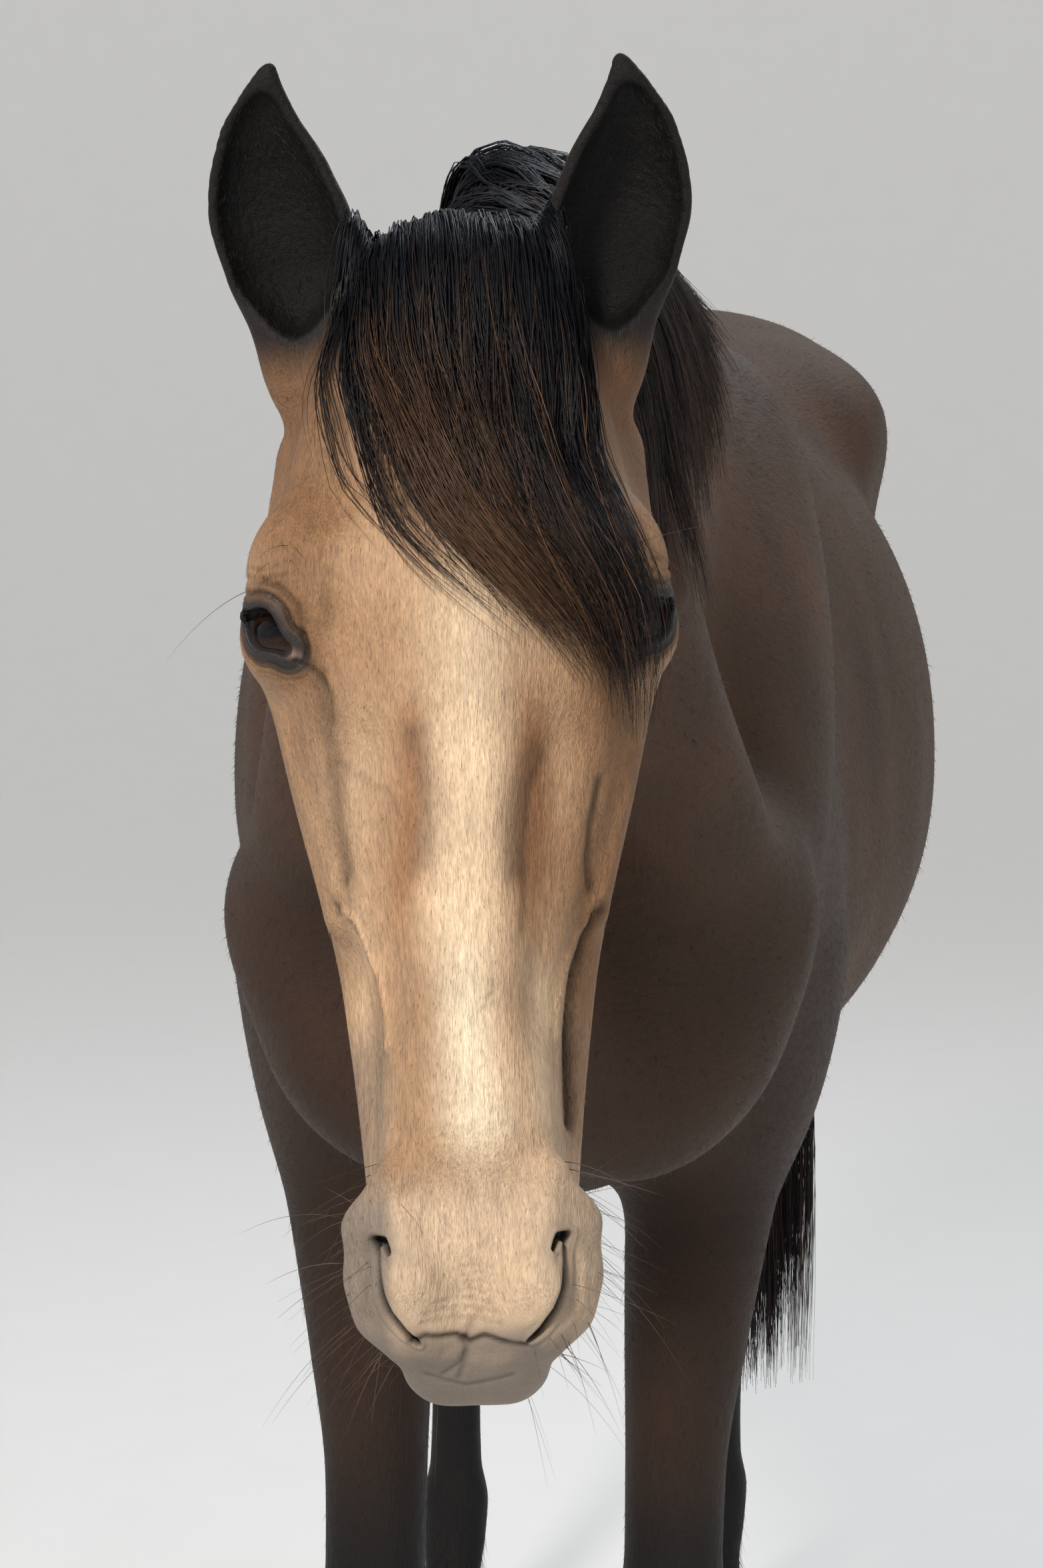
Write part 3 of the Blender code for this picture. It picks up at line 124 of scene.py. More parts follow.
# Each line is its path, half width, height and shade: raised or sunk, and painted lighter or darker, as
# painted highlight on the veins and ridges and painted shade in the creases and grooves.
FACE_LINES = [
    ([(424, 1097), (447, 1175), (474, 1253), (498, 1315)], 0.0060, 0.0018, 0.10),
    ([(478, 1027), (490, 1097), (498, 1175), (508, 1253), (516, 1308)], 0.0065, -0.0022, -0.42),
    ([(503, 1335), (506, 1345)], 0.0050, 0.0026, 0.05),
    ([(514, 1322), (517, 1328)], 0.0022, -0.0018, -0.65),
    ([(503, 1362), (508, 1372)], 0.0026, -0.0018, -0.60),
    ([(517, 1370), (534, 1386), (552, 1425), (566, 1464), (576, 1518), (578, 1573)], 0.0026, 0.0020, 0.20),
    ([(525, 1392), (543, 1432), (556, 1470), (565, 1518)], 0.0030, -0.0012, -0.30),
    ([(511, 1140), (534, 1161), (560, 1177), (587, 1189), (601, 1223)], 0.0016, 0.0011, -0.22),
    ([(564, 1479), (571, 1573), (566, 1651), (560, 1729)], 0.0030, -0.0012, -0.22),
    ([(950, 1191), (931, 1245), (913, 1323)], 0.0060, 0.0018, 0.08),
    ([(906, 1175), (893, 1237), (888, 1292), (890, 1331)], 0.0035, -0.0022, -0.55),
    ([(907, 1345), (905, 1352)], 0.0045, 0.0024, 0.05),
    ([(906, 1364), (904, 1372)], 0.0030, -0.0020, -0.70),
    ([(893, 1354), (880, 1393), (854, 1448), (843, 1503), (842, 1573)], 0.0026, 0.0020, 0.18),
    ([(896, 1378), (876, 1432), (862, 1495), (856, 1557), (855, 1620), (859, 1690)], 0.0034, -0.0032, -0.90),
    ([(622, 1105), (638, 1167), (638, 1237), (630, 1292)], 0.0095, -0.0016, -0.36),
    ([(814, 1128), (790, 1183), (782, 1237), (778, 1308)], 0.0095, -0.0016, -0.40),
    ([(823, 1136), (800, 1183), (795, 1253), (790, 1331), (788, 1400)], 0.0028, -0.0009, -0.30),
    ([(743, 1473), (738, 1490), (724, 1518)], 0.0009, -0.0005, -0.40),
    ([(360, 881), (390, 875), (421, 882), (448, 911), (458, 953)], 0.0017, -0.0014, -0.45),
    ([(366, 852), (390, 857), (421, 850)], 0.0012, -0.0008, -0.35),
    ([(368, 866), (396, 870), (430, 864)], 0.0012, -0.0008, -0.35),
    ([(494, 860), (496, 899), (492, 941)], 0.0042, -0.0014, -0.24),
    ([(445, 996), (475, 1014), (493, 1044), (499, 1086)], 0.0022, -0.0016, -0.45),
    ([(960, 846), (985, 838), (1010, 846)], 0.0013, -0.0009, -0.35),
    ([(955, 866), (985, 856), (1015, 866)], 0.0016, -0.0013, -0.40),
    ([(616, 2018), (640, 2007), (664, 2011), (687, 2007), (706, 2015), (728, 2010), (752, 2016), (790, 2024)],
     0.0017, -0.0014, -0.85),
    ([(666, 2064), (680, 2057), (692, 2043), (699, 2033)], 0.0014, -0.0009, -0.22),
    ([(728, 1963), (709, 1989), (699, 2014)], 0.0014, -0.0009, -0.20),
    ([(697, 1905), (720, 1902), (742, 1906)], 0.0013, -0.0007, -0.14),
    ([(692, 1917), (718, 1914), (745, 1918)], 0.0013, -0.0007, -0.14),
    ([(688, 1929), (716, 1926), (748, 1930)], 0.0013, -0.0007, -0.16),
    ([(684, 1941), (712, 1938), (744, 1942)], 0.0013, -0.0007, -0.16),
    ([(655, 1962), (678, 1955), (712, 1952), (740, 1958)], 0.0013, -0.0009, -0.20),
    ([(642, 1976), (668, 1968), (706, 1966), (745, 1974)], 0.0013, -0.0009, -0.22),
    ([(634, 1990), (660, 1983), (700, 1981), (752, 1992)], 0.0013, -0.0009, -0.24),
    ([(560, 1848), (546, 1880), (548, 1930), (560, 1975), (584, 2008)], 0.0036, 0.0014, -0.05),
    ([(592, 1890), (594, 1930), (604, 1965), (622, 1990)], 0.0036, 0.0012, 0.04),
    ([(872, 1850), (882, 1900), (876, 1950), (856, 1992), (820, 2022)], 0.0038, 0.0016, 0.03),
    ([(828, 1892), (832, 1932), (820, 1962), (796, 1988)], 0.0036, 0.0012, 0.04),
    ([(640, 2038), (662, 2046), (682, 2040)], 0.0050, 0.0016, 0.06),
    ([(716, 2042), (742, 2050), (768, 2044)], 0.0050, 0.0016, 0.06),
    ([(700, 2012), (702, 2030), (697, 2048), (690, 2070)], 0.0015, -0.0011, -0.30),
    ([(640, 2070), (700, 2080), (770, 2068)], 0.0018, -0.0010, -0.22),
]
# The tail from the dock down: height, lateral, y, half width, half depth.
TAIL = np.array([
    (1.415, 0.002, 1.628, 0.030, 0.024),
    (1.355, 0.008, 1.652, 0.042, 0.034),
    (1.270, 0.024, 1.672, 0.049, 0.038),
    (1.150, 0.046, 1.688, 0.057, 0.042),
    (0.940, 0.092, 1.698, 0.076, 0.046),
    (0.650, 0.134, 1.690, 0.092, 0.048),
    (0.290, 0.150, 1.680, 0.074, 0.040),
])
# Paths in the head's frame.
NOSTRIL = [
    (0.0395, -0.0135, 0.5218),
    (0.0425, -0.0145, 0.5155),
    (0.0472, -0.0170, 0.5150),
    (0.0478, -0.0180, 0.5280),
    (0.0460, -0.0185, 0.5390),
    (0.0418, -0.0215, 0.5500),
    (0.0345, -0.0230, 0.5592),
    (0.0268, -0.0246, 0.5648),
]
NOSTRIL_HALVES = [0.0013, 0.0019, 0.0023, 0.0029, 0.0034, 0.0030, 0.0022, 0.0012]
NOSTRIL_DEPTH = 0.0062
LID_MIDDLE = EYE + EYE_FACING * (EYE_RADIUS + 0.004)
LID_SLIT = [
    EYE + (EYE_FACING * 0.85 - LID_WAY * 0.52) * (EYE_RADIUS + 0.003),
    LID_MIDDLE,
    EYE + (EYE_FACING * 0.82 + LID_WAY * 0.57) * (EYE_RADIUS + 0.003),
]
LID_CORNER_RADIUS = 0.0035      # of the opening between the lids
LID_MIDDLE_RADIUS = 0.0095
TEAR_DUCT = [LID_SLIT[2] + LID_WAY * 0.003, LID_SLIT[2] + LID_WAY * 0.009]
MOUTH = [(0, -0.094, 0.585), (0.030, -0.094, 0.570), (0.043, -0.096, 0.525), (0.049, -0.096, 0.482)]

# Linear colours. The body's bays are darker than the coat's own bay, as painted shade over the body, and the
# head's tans are lighter than the body's, as painted light on the head.
BAY = (0.052, 0.0245, 0.0125)
BAY_LIGHT = (0.095, 0.047, 0.024)
BAY_DARK = (0.022, 0.011, 0.007)
TAN = (0.30, 0.165, 0.084)
TAN_BRIGHT = (0.60, 0.45, 0.30)
# painted shade on the sides of the face, the temples and round the eyes
FACE_SHADE_BROWN = (0.150, 0.072, 0.032)
# painted shade in the hollows beside the nasal bar
HOLLOW_SHADE_BROWN = (0.235, 0.098, 0.036)
# painted highlight down the nasal bar
NOSE_BAR_HIGHLIGHT = (0.76, 0.62, 0.44)
MUZZLE_GREY = (0.48, 0.350, 0.235)
# grey skin of the nostrils' wings and of the strip down the lower sides of the face, laid on more strongly on
# the horse's right as painted shade
MUZZLE_WING_GREY_AND_SHADE = (0.17, 0.142, 0.120)
STRIP_GREY_AND_SHADE = (0.18, 0.140, 0.108)
LIP_GREY = (0.125, 0.105, 0.090)
EYE_SKIN = (0.022, 0.019, 0.019)
TEAR_SPOT = (0.26, 0.17, 0.13)
EAR_BACK = (0.011, 0.0075, 0.0060)
# the dark hair inside the ears, with painted shade of the cup in it
EAR_INSIDE_WITH_SHADE = (0.0032, 0.0026, 0.0024)
BLACK = (0.0065, 0.0055, 0.0055)
# near-black, with a blue cast as a painted sheen; then the rust of the tips, also used as painted light on
# lit strands
HAIR_BLACK_WITH_BLUE_SHEEN = (0.0036, 0.0043, 0.0066)
HAIR_RUST_AND_LIT = (0.150, 0.074, 0.036)
EYE_BROWN = (0.018, 0.008, 0.004)
EYE_BLACK = (0.002, 0.002, 0.003)
EYE_WHITE = (0.016, 0.010, 0.008)

CAMERA_PLACE = (0.168, -2.828, 1.423)
CAMERA_TURN = math.radians(4.09)
CAMERA_PITCH = math.radians(5.90)
CAMERA_LENS = 78.81
CAMERA_SENSOR = 36.0

WAVES = np.random.default_rng(11).normal(size=(10, 3))
LOOKS = {}
LINES = []


def local_frame(origin, lateral, up, along):
    """A local frame as (origin, 3x3 rows of its lateral, up and along directions)."""
    rows = np.array([Vector(axis).normalized() for axis in (lateral, up, along)], float)
    return np.array(origin, float), rows


def head_frame():
    """Lateral to the horse's left, up out of the face, along from the poll to the lips."""
    turn = Matrix.Rotation(HEAD_TURN, 3, "Z") @ Matrix.Rotation(HEAD_ROLL, 3, "Y")
    face = turn @ Vector((0, -math.cos(HEAD_PITCH), math.sin(HEAD_PITCH)))
    down = turn @ Vector((0, -math.sin(HEAD_PITCH), -math.cos(HEAD_PITCH)))
    return local_frame(POLL, turn @ Vector((1, 0, 0)), face, down)


WORLD = local_frame((0, 0, 0), (1, 0, 0), (0, 0, 1), (0, 1, 0))
HEAD = head_frame()


def to_world(local, place):
    """The world point of (lateral, up, along) in a frame."""
    origin, rows = place
    return Vector(origin + np.array(local, float) @ rows)


class Shape:
    """One mass or hollow in a frame. Mirrored shapes stand on both sides of the frame's middle."""

    def __init__(self, place, mirrored=False):
        self.place = place
        self.mirrored = mirrored

    def local(self, x, y, z):
        origin, rows = self.place
        dx, dy, dz = x - origin[0], y - origin[1], z - origin[2]
        a, b, s = (r[0] * dx + r[1] * dy + r[2] * dz for r in rows)
        return (np.abs(a) if self.mirrored else a), b, s

    def distance(self, x, y, z):
        return self.local_distance(*self.local(x, y, z))

    def bounds(self):
        """Lowest and highest world corner of the shape's local box."""
        low, high = self.local_box()
        if self.mirrored:
            reach = max(abs(low[0]), abs(high[0]))
            low, high = (-reach, *low[1:]), (reach, *high[1:])
        corners = [
            to_world((a, b, s), self.place)
            for a in (low[0], high[0])
            for b in (low[1], high[1])
            for s in (low[2], high[2])
        ]
        return np.min(corners, axis=0), np.max(corners, axis=0)


class Blob(Shape):
    """An ellipsoid. Its lean turns it in the up and along plane."""

    def __init__(self, centre, radii, lean=0.0, place=WORLD, mirrored=True):
        super().__init__(place, mirrored)
        self.centre = centre
        self.radii = radii
        self.lean = math.radians(lean)

    def local_distance(self, a, b, s):
        a, b, s = a - self.centre[0], b - self.centre[1], s - self.centre[2]
        cos, sin = math.cos(self.lean), math.sin(self.lean)
        b, s = cos * b + sin * s, cos * s - sin * b
        ra, rb, rs = self.radii
        near = np.sqrt((a / ra) ** 2 + (b / rb) ** 2 + (s / rs) ** 2)
        slope = np.sqrt((a / ra**2) ** 2 + (b / rb**2) ** 2 + (s / rs**2) ** 2)
        return near * (near - 1) / np.maximum(slope, 1e-6)

    def local_box(self):
        reach = max(self.radii)
        return [c - reach for c in self.centre], [c + reach for c in self.centre]


class Bone(Shape):
    """A round rod between two points, from one radius to another."""

    def __init__(self, start, end, start_radius, end_radius, place=WORLD, mirrored=True):
        super().__init__(place, mirrored)
        self.start = np.array(start, float)
        self.end = np.array(end, float)
        self.radii = start_radius, end_radius

    def local_distance(self, a, b, s):
        run = self.end - self.start
        a, b, s = a - self.start[0], b - self.start[1], s - self.start[2]
        share = np.clip((a * run[0] + b * run[1] + s * run[2]) / (run @ run), 0, 1)
        away = (a - share * run[0]) ** 2 + (b - share * run[1]) ** 2 + (s - share * run[2]) ** 2
        return np.sqrt(away) - (self.radii[0] + share * (self.radii[1] - self.radii[0]))

    def local_box(self):
        reach = max(self.radii)
        ends = np.array([self.start, self.end])
        return ends.min(axis=0) - reach, ends.max(axis=0) + reach


class Sweep(Shape):
    """A tapering form along a frame's axis.

    Each station is (along, middle lateral, middle up, half width, reach up, reach down, squareness).
    """

    SAMPLES = 240

    def __init__(self, stations, place=WORLD, lean_to=(0.0, 0.0), mirrored=False, end_round=0.01):
        super().__init__(place, mirrored)
        table = np.array(stations, float)
        self.along = np.linspace(table[0, 0], table[-1, 0], self.SAMPLES)
        self.columns = [smooth_through(table[:, 0], column, self.along) for column in table.T[1:]]
        share = (self.along - self.along[0]) / (self.along[-1] - self.along[0])
        self.columns[0] = self.columns[0] + lean_to[0] * share
        self.columns[1] = self.columns[1] + lean_to[1] * share
        self.end_round = end_round

    def local_distance(self, a, b, s):
        middle_a, middle_b, width, above, below, square = (
            np.interp(s, self.along, column) for column in self.columns
        )
        rise = b - middle_b
        height = np.where(rise > 0, above, below)
        across = np.maximum(np.abs(a - middle_a) / width, 1e-5)
        upright = np.maximum(np.abs(rise) / height, 1e-5)
        total = across**square + upright**square
        level = total ** (1 / square)
        slope = level / total * np.hypot(
            across ** (square - 1) / width, upright ** (square - 1) / height
        )
        side = (level - 1) / np.maximum(slope, 1e-3)
        beyond = np.maximum(self.along[0] - s, s - self.along[-1])
        return smooth_max(side, beyond, self.end_round)

    def local_box(self):
        middle_a, middle_b, width, above, below, _ = self.columns
        low = ((middle_a - width).min(), (middle_b - below).min(), self.along[0])
        high = ((middle_a + width).max(), (middle_b + above).max(), self.along[-1])
        return low, high


def smooth_through(knots, values, at):
    """A smooth curve through the knots that doesn't overshoot between them."""
    steps = np.diff(values) / np.diff(knots)
    slopes = np.zeros(len(knots))
    same = steps[:-1] * steps[1:] > 0
    both = np.abs(steps[:-1]) + np.abs(steps[1:])
    slopes[1:-1][same] = (2 * steps[:-1] * steps[1:] * np.sign(both))[same] / (
        steps[:-1] + steps[1:]
    )[same]
    slopes[0], slopes[-1] = steps[0], steps[-1]
    span = np.clip(np.searchsorted(knots, at) - 1, 0, len(knots) - 2)
    width = np.diff(knots)[span]
    u = (at - knots[span]) / width
    return (
        values[span] * (1 + 2 * u) * (1 - u) ** 2
        + slopes[span] * width * u * (1 - u) ** 2
        + values[span + 1] * u**2 * (3 - 2 * u)
        + slopes[span + 1] * width * u**2 * (u - 1)
    )


def smooth_min(first, second, soft):
    mix = np.clip(0.5 + 0.5 * (second - first) / soft, 0, 1)
    return second + (first - second) * mix - soft * mix * (1 - mix)


def smooth_max(first, second, soft):
    return -smooth_min(-first, -second, soft)


def add(shape, soft):
    return shape, soft, False


def carve(shape, soft):
    return shape, soft, True


def trunk_and_muscles():
    """Chest, barrel and croup with the muscles that shape them."""
    stations = [
        # y, lateral, middle, half width, above, below, squareness
        (-0.030, 0.008, 1.07, 0.055, 0.05, 0.06, 2.0),
        (0.000, 0.008, 1.07, 0.122, 0.14, 0.13, 2.0),
        (0.070, 0.008, 1.09, 0.160, 0.25, 0.19, 2.0),
        (0.160, 0.006, 1.10, 0.184, 0.35, 0.235, 2.0),
        (0.300, 0.002, 1.09, 0.208, 0.445, 0.245, 1.9),
        (0.450, 0, 1.09, 0.235, 0.482, 0.260, 1.8),
        (0.600, 0, 1.10, 0.275, 0.440, 0.285, 1.95),
        (0.750, 0, 1.11, 0.310, 0.385, 0.305, 2.1),
        (0.900, 0, 1.12, BARREL_HALF_WIDTH, 0.365, 0.305, 2.15),
        (1.050, 0, 1.15, 0.305, 0.355, 0.290, 2.15),
        (1.200, 0, 1.20, 0.270, 0.340, 0.265, 2.2),
        (1.330, 0, 1.22, 0.245, 0.310, 0.225, 2.2),
        (1.450, 0, 1.22, 0.205, 0.260, 0.190, 2.1),
        (1.550, 0, 1.22, 0.140, 0.175, 0.140, 2.0),
        (1.600, 0, 1.22, 0.070, 0.090, 0.080, 2.0),
    ]
    return [
        add(Sweep(stations), 0.01),
        add(Blob((0.142, 1.25, 0.23), (0.066, 0.125, 0.260), lean=128), 0.08),    # shoulder blade
        add(Blob((0.118, 1.045, 0.035), (0.060, 0.100, 0.075)), 0.07),            # point of shoulder
        add(Blob((0.075, 1.030, 0.010), (0.075, 0.115, 0.065)), 0.05),            # breast
        add(Blob((0.156, 1.020, 0.310), (0.060, 0.150, 0.125), lean=15), 0.07),   # triceps
        add(Blob((0.140, 1.415, 1.170), (0.130, 0.110, 0.240), lean=-4), 0.09),   # gluteal mass
        add(Blob((0.165, 1.190, 1.330), (0.103, 0.260, 0.170), lean=12), 0.08),   # thigh
        add(Blob((0.105, 1.250, 1.468), (0.095, 0.195, 0.105), lean=-8), 0.06),   # buttock
        add(Bone((0.120, 1.180, 1.488), (0.135, 0.860, 1.400), 0.078, 0.050), 0.07),
        add(Blob((0.190, 1.000, 1.165), (0.070, 0.120, 0.085)), 0.08),            # stifle
        add(Blob((0.224, 1.420, 1.070), (0.038, 0.042, 0.075)), 0.08),            # point of hip
        carve(Blob((0.352, 1.300, 1.045), (0.045, 0.095, 0.070)), 0.08),          # flank
        carve(Blob((0.000, 1.000, -0.075), (0.014, 0.110, 0.050), mirrored=False), 0.04),
        add(Bone((0, 1.425, 1.450), (0.002, 1.415, 1.582), 0.055, 0.036, mirrored=False), 0.05),
        *(add(Bone(a, b, r, q, mirrored=False), 0.02) for a, b, r, q in dock_bones()),
    ]


def dock_bones():
    """The fleshy root of the tail, from the croup down."""
    path = [(0.002, 1.415, 1.582), (0.008, 1.350, 1.630), (0.024, 1.255, 1.654), (0.046, 1.135, 1.666)]
    radii = [0.036, 0.032, 0.026, 0.016]
    return list(zip(path, path[1:], radii, radii[1:]))


NECK_BASE = Vector((0.0, 0.25, 1.33))
NECK_TOP = Vector((0.004, -0.42, 1.425))


def neck_frame():
    along = NECK_TOP - NECK_BASE
    lateral = Vector((0, 0, 1)).cross(along)
    if lateral.x < 0:
        lateral.negate()
    up = Vector((0, 0, 1)) - along.normalized() * along.normalized().z
    return local_frame(NECK_BASE, lateral, up, along)


NECK = neck_frame()


def neck_and_crest():
    """The arched neck, its long muscle down to the shoulder and the groove below that."""
    stations = [
        # along, lateral, middle, half width, above, below, squareness
        (-0.060, 0, 0.00, 0.140, 0.215, 0.290, 2.0),
        (0.000, 0, 0.00, 0.145, 0.236, 0.285, 2.0),
        (0.150, 0, 0.00, 0.138, 0.230, 0.265, 1.9),
        (0.300, 0, 0.00, 0.122, 0.208, 0.225, 1.85),
        (0.450, 0, 0.00, 0.108, 0.175, 0.195, 1.85),
        (0.570, 0, 0.00, 0.094, 0.136, 0.158, 2.0),
        (0.650, 0, 0.00, 0.080, 0.100, 0.115, 2.0),
        (0.700, 0, 0.00, 0.060, 0.060, 0.085, 2.0),
    ]
    return [
        add(Sweep(stations, NECK, end_round=0.04), 0.06),
        add(Bone((0.080, 1.330, -0.270), (0.135, 1.100, 0.015), 0.040, 0.056), 0.06),
    ]


# Each station is (height, lateral, forward, half width, to the front, to the back, squareness).
FORE_LEG = [
    (FORE_TOP, 0.030, 0.020, 0.070, 0.110, 0.130, 2.0),
    (0.910, 0.022, -0.005, 0.066, 0.090, 0.105, 2.0),
    (0.810, 0.012, -0.020, 0.058, 0.070, 0.080, 2.0),
    (0.710, 0.005, -0.028, 0.049, 0.055, 0.062, 2.1),
    (0.610, 0.000, -0.034, 0.041, 0.045, 0.050, 2.2),
    (0.540, 0.000, -0.038, 0.040, 0.042, 0.045, 2.4),
    (0.475, 0.000, -0.040, 0.047, 0.046, 0.048, 2.7),
    (0.420, 0.000, -0.042, 0.042, 0.038, 0.045, 2.5),
    (0.375, 0.000, -0.046, 0.031, 0.029, 0.040, 2.2),
    (0.300, 0.000, -0.048, 0.027, 0.026, 0.038, 2.2),
    (0.245, 0.000, -0.050, 0.029, 0.027, 0.040, 2.1),
    (0.205, 0.000, -0.050, 0.037, 0.034, 0.047, 2.1),
    (0.170, 0.000, -0.042, 0.035, 0.034, 0.040, 2.0),
    (0.135, 0.000, -0.024, 0.032, 0.033, 0.034, 2.0),
    (0.100, 0.000, -0.004, 0.037, 0.038, 0.038, 2.0),
    (0.070, 0.000, 0.010, 0.049, 0.048, 0.049, 2.2),
    (0.030, 0.000, 0.014, 0.049, 0.048, 0.049, 2.2),
]
HIND_LEG = [
    (HIND_TOP, 0.020, 0.130, 0.085, 0.150, 0.170, 2.0),
    (1.020, 0.024, 0.145, 0.085, 0.145, 0.150, 2.0),
    (0.910, 0.022, 0.115, 0.074, 0.108, 0.112, 2.0),
    (0.810, 0.016, 0.062, 0.060, 0.082, 0.082, 2.0),
    (0.730, 0.008, 0.016, 0.049, 0.062, 0.068, 2.1),
    (0.665, 0.003, -0.016, 0.042, 0.050, 0.068, 2.2),
    (0.610, 0.000, -0.036, 0.043, 0.048, 0.076, 2.4),
    (0.555, 0.000, -0.044, 0.045, 0.045, 0.062, 2.5),
    (0.495, 0.000, -0.052, 0.038, 0.038, 0.045, 2.3),
    (0.430, 0.000, -0.056, 0.030, 0.031, 0.040, 2.2),
    (0.330, 0.000, -0.058, 0.028, 0.029, 0.039, 2.2),
    (0.260, 0.000, -0.058, 0.030, 0.030, 0.042, 2.1),
    (0.215, 0.000, -0.055, 0.038, 0.036, 0.048, 2.1),
    (0.175, 0.000, -0.046, 0.036, 0.035, 0.041, 2.0),
    (0.138, 0.000, -0.028, 0.032, 0.033, 0.035, 2.0),
    (0.102, 0.000, -0.006, 0.037, 0.038, 0.038, 2.0),
    (0.070, 0.000, 0.008, 0.049, 0.047, 0.049, 2.2),
    (0.030, 0.000, 0.012, 0.049, 0.047, 0.049, 2.2),
]

# Each leg's stations, x and y of its foot, and how far its foot is set sideways and
# forward of where the leg's top stays.
LEGS = {
    "fore_left": (FORE_LEG, 0.092, 0.300, (-0.020, 0.010)),
    "fore_right": (FORE_LEG, -0.138, 0.245, (-0.012, 0.065)),
    "hind_left": (HIND_LEG, 0.112, 1.500, (-0.038, -0.040)),
    "hind_right": (HIND_LEG, -0.178, 1.420, (-0.010, 0.040)),
}


def leg_frame(x, y):
    """Up towards the front of the leg and along straight down, from the floor at the foot."""
    return local_frame((x, y, 0), (1, 0, 0), (0, -1, 0), (0, 0, -1))


def leg_shape(name):
    stations, x, y, (sideways, forward) = LEGS[name]
    side = math.copysign(1, x)
    top = stations[0][0]
    rows = []
    for height, lateral, ahead, *sizes in stations:
        share = (height / top) ** 1.5
        rows.append((-height, side * lateral - sideways * share, ahead - forward * share, *sizes))
    return Sweep(rows, leg_frame(x, y))


def ear_frame(side):
    """Lateral away from the head, up out of the cup, along from the base to the tip."""
    mirror = Vector((side, 1, 1))
    facing = (EAR_FACING - EAR_AXIS * EAR_FACING.dot(EAR_AXIS)).normalized()
    lateral = EAR_AXIS.cross(facing)
    if lateral.x < 0:
        lateral.negate()
    _, rows = HEAD
    turned = [Vector(np.array(axis * mirror) @ rows) for axis in (lateral, facing, EAR_AXIS)]
    return local_frame(to_world(EAR_BASE * mirror, HEAD), *turned)


EAR = [
    # along, lateral, middle, half width, above, below, squareness
    (-0.030, 0.000, -0.004, 0.010, 0.012, 0.012, 2.0),
    (-0.012, 0.000, -0.002, 0.018, 0.020, 0.020, 2.0),
    (0.000, -0.002, 0.000, 0.0225, 0.022, 0.024, 2.0),
    (0.030, -0.004, 0.000, 0.029, 0.018, 0.026, 2.0),
    (0.060, -0.003, 0.000, 0.0375, 0.013, 0.027, 2.1),
    (0.085, 0.000, 0.000, 0.0390, 0.011, 0.026, 2.1),
    (0.110, 0.002, 0.001, 0.0340, 0.009, 0.022, 2.0),
    (0.135, 0.002, 0.004, 0.0235, 0.007, 0.014, 2.0),
    (0.155, -0.003, 0.008, 0.0120, 0.006, 0.008, 2.0),
    (EAR_LENGTH, -0.010, 0.012, 0.0030, 0.003, 0.003, 2.0),
]
EAR_WALL = 0.0056


def ear_cup():
    """Stations of the hollow in the front of an ear, pointed at its foot."""
    cup = [(0.026, -0.004, 0.016, 0.005, 0.026, 0.010, 2.0), (0.040, -0.004, 0.010, 0.019, 0.028, 0.020, 2.0)]
    for along, lateral, middle, half, _, below, square in EAR[4:-1]:
        cup.append((along, lateral, middle + 0.006, half - EAR_WALL, 0.030, below - EAR_WALL + 0.006, square))
    return cup


def ear_shapes():
    """A rolled leaf, hollow in front."""
    shapes = []
    for side in (1, -1):
        place = ear_frame(side)
        shapes.append(add(Sweep(EAR, place, end_round=0.004), 0.014))
        shapes.append(carve(Sweep(ear_cup(), place, end_round=0.008), 0.005))
    return shapes


def lid_opening():
    """The two tapered halves of the opening between the lids."""
    back_corner, middle, front_corner = LID_SLIT
    return [
        Bone(back_corner, middle, LID_CORNER_RADIUS, LID_MIDDLE_RADIUS, HEAD),
        Bone(middle, front_corner, LID_MIDDLE_RADIUS, LID_CORNER_RADIUS, HEAD),
    ]


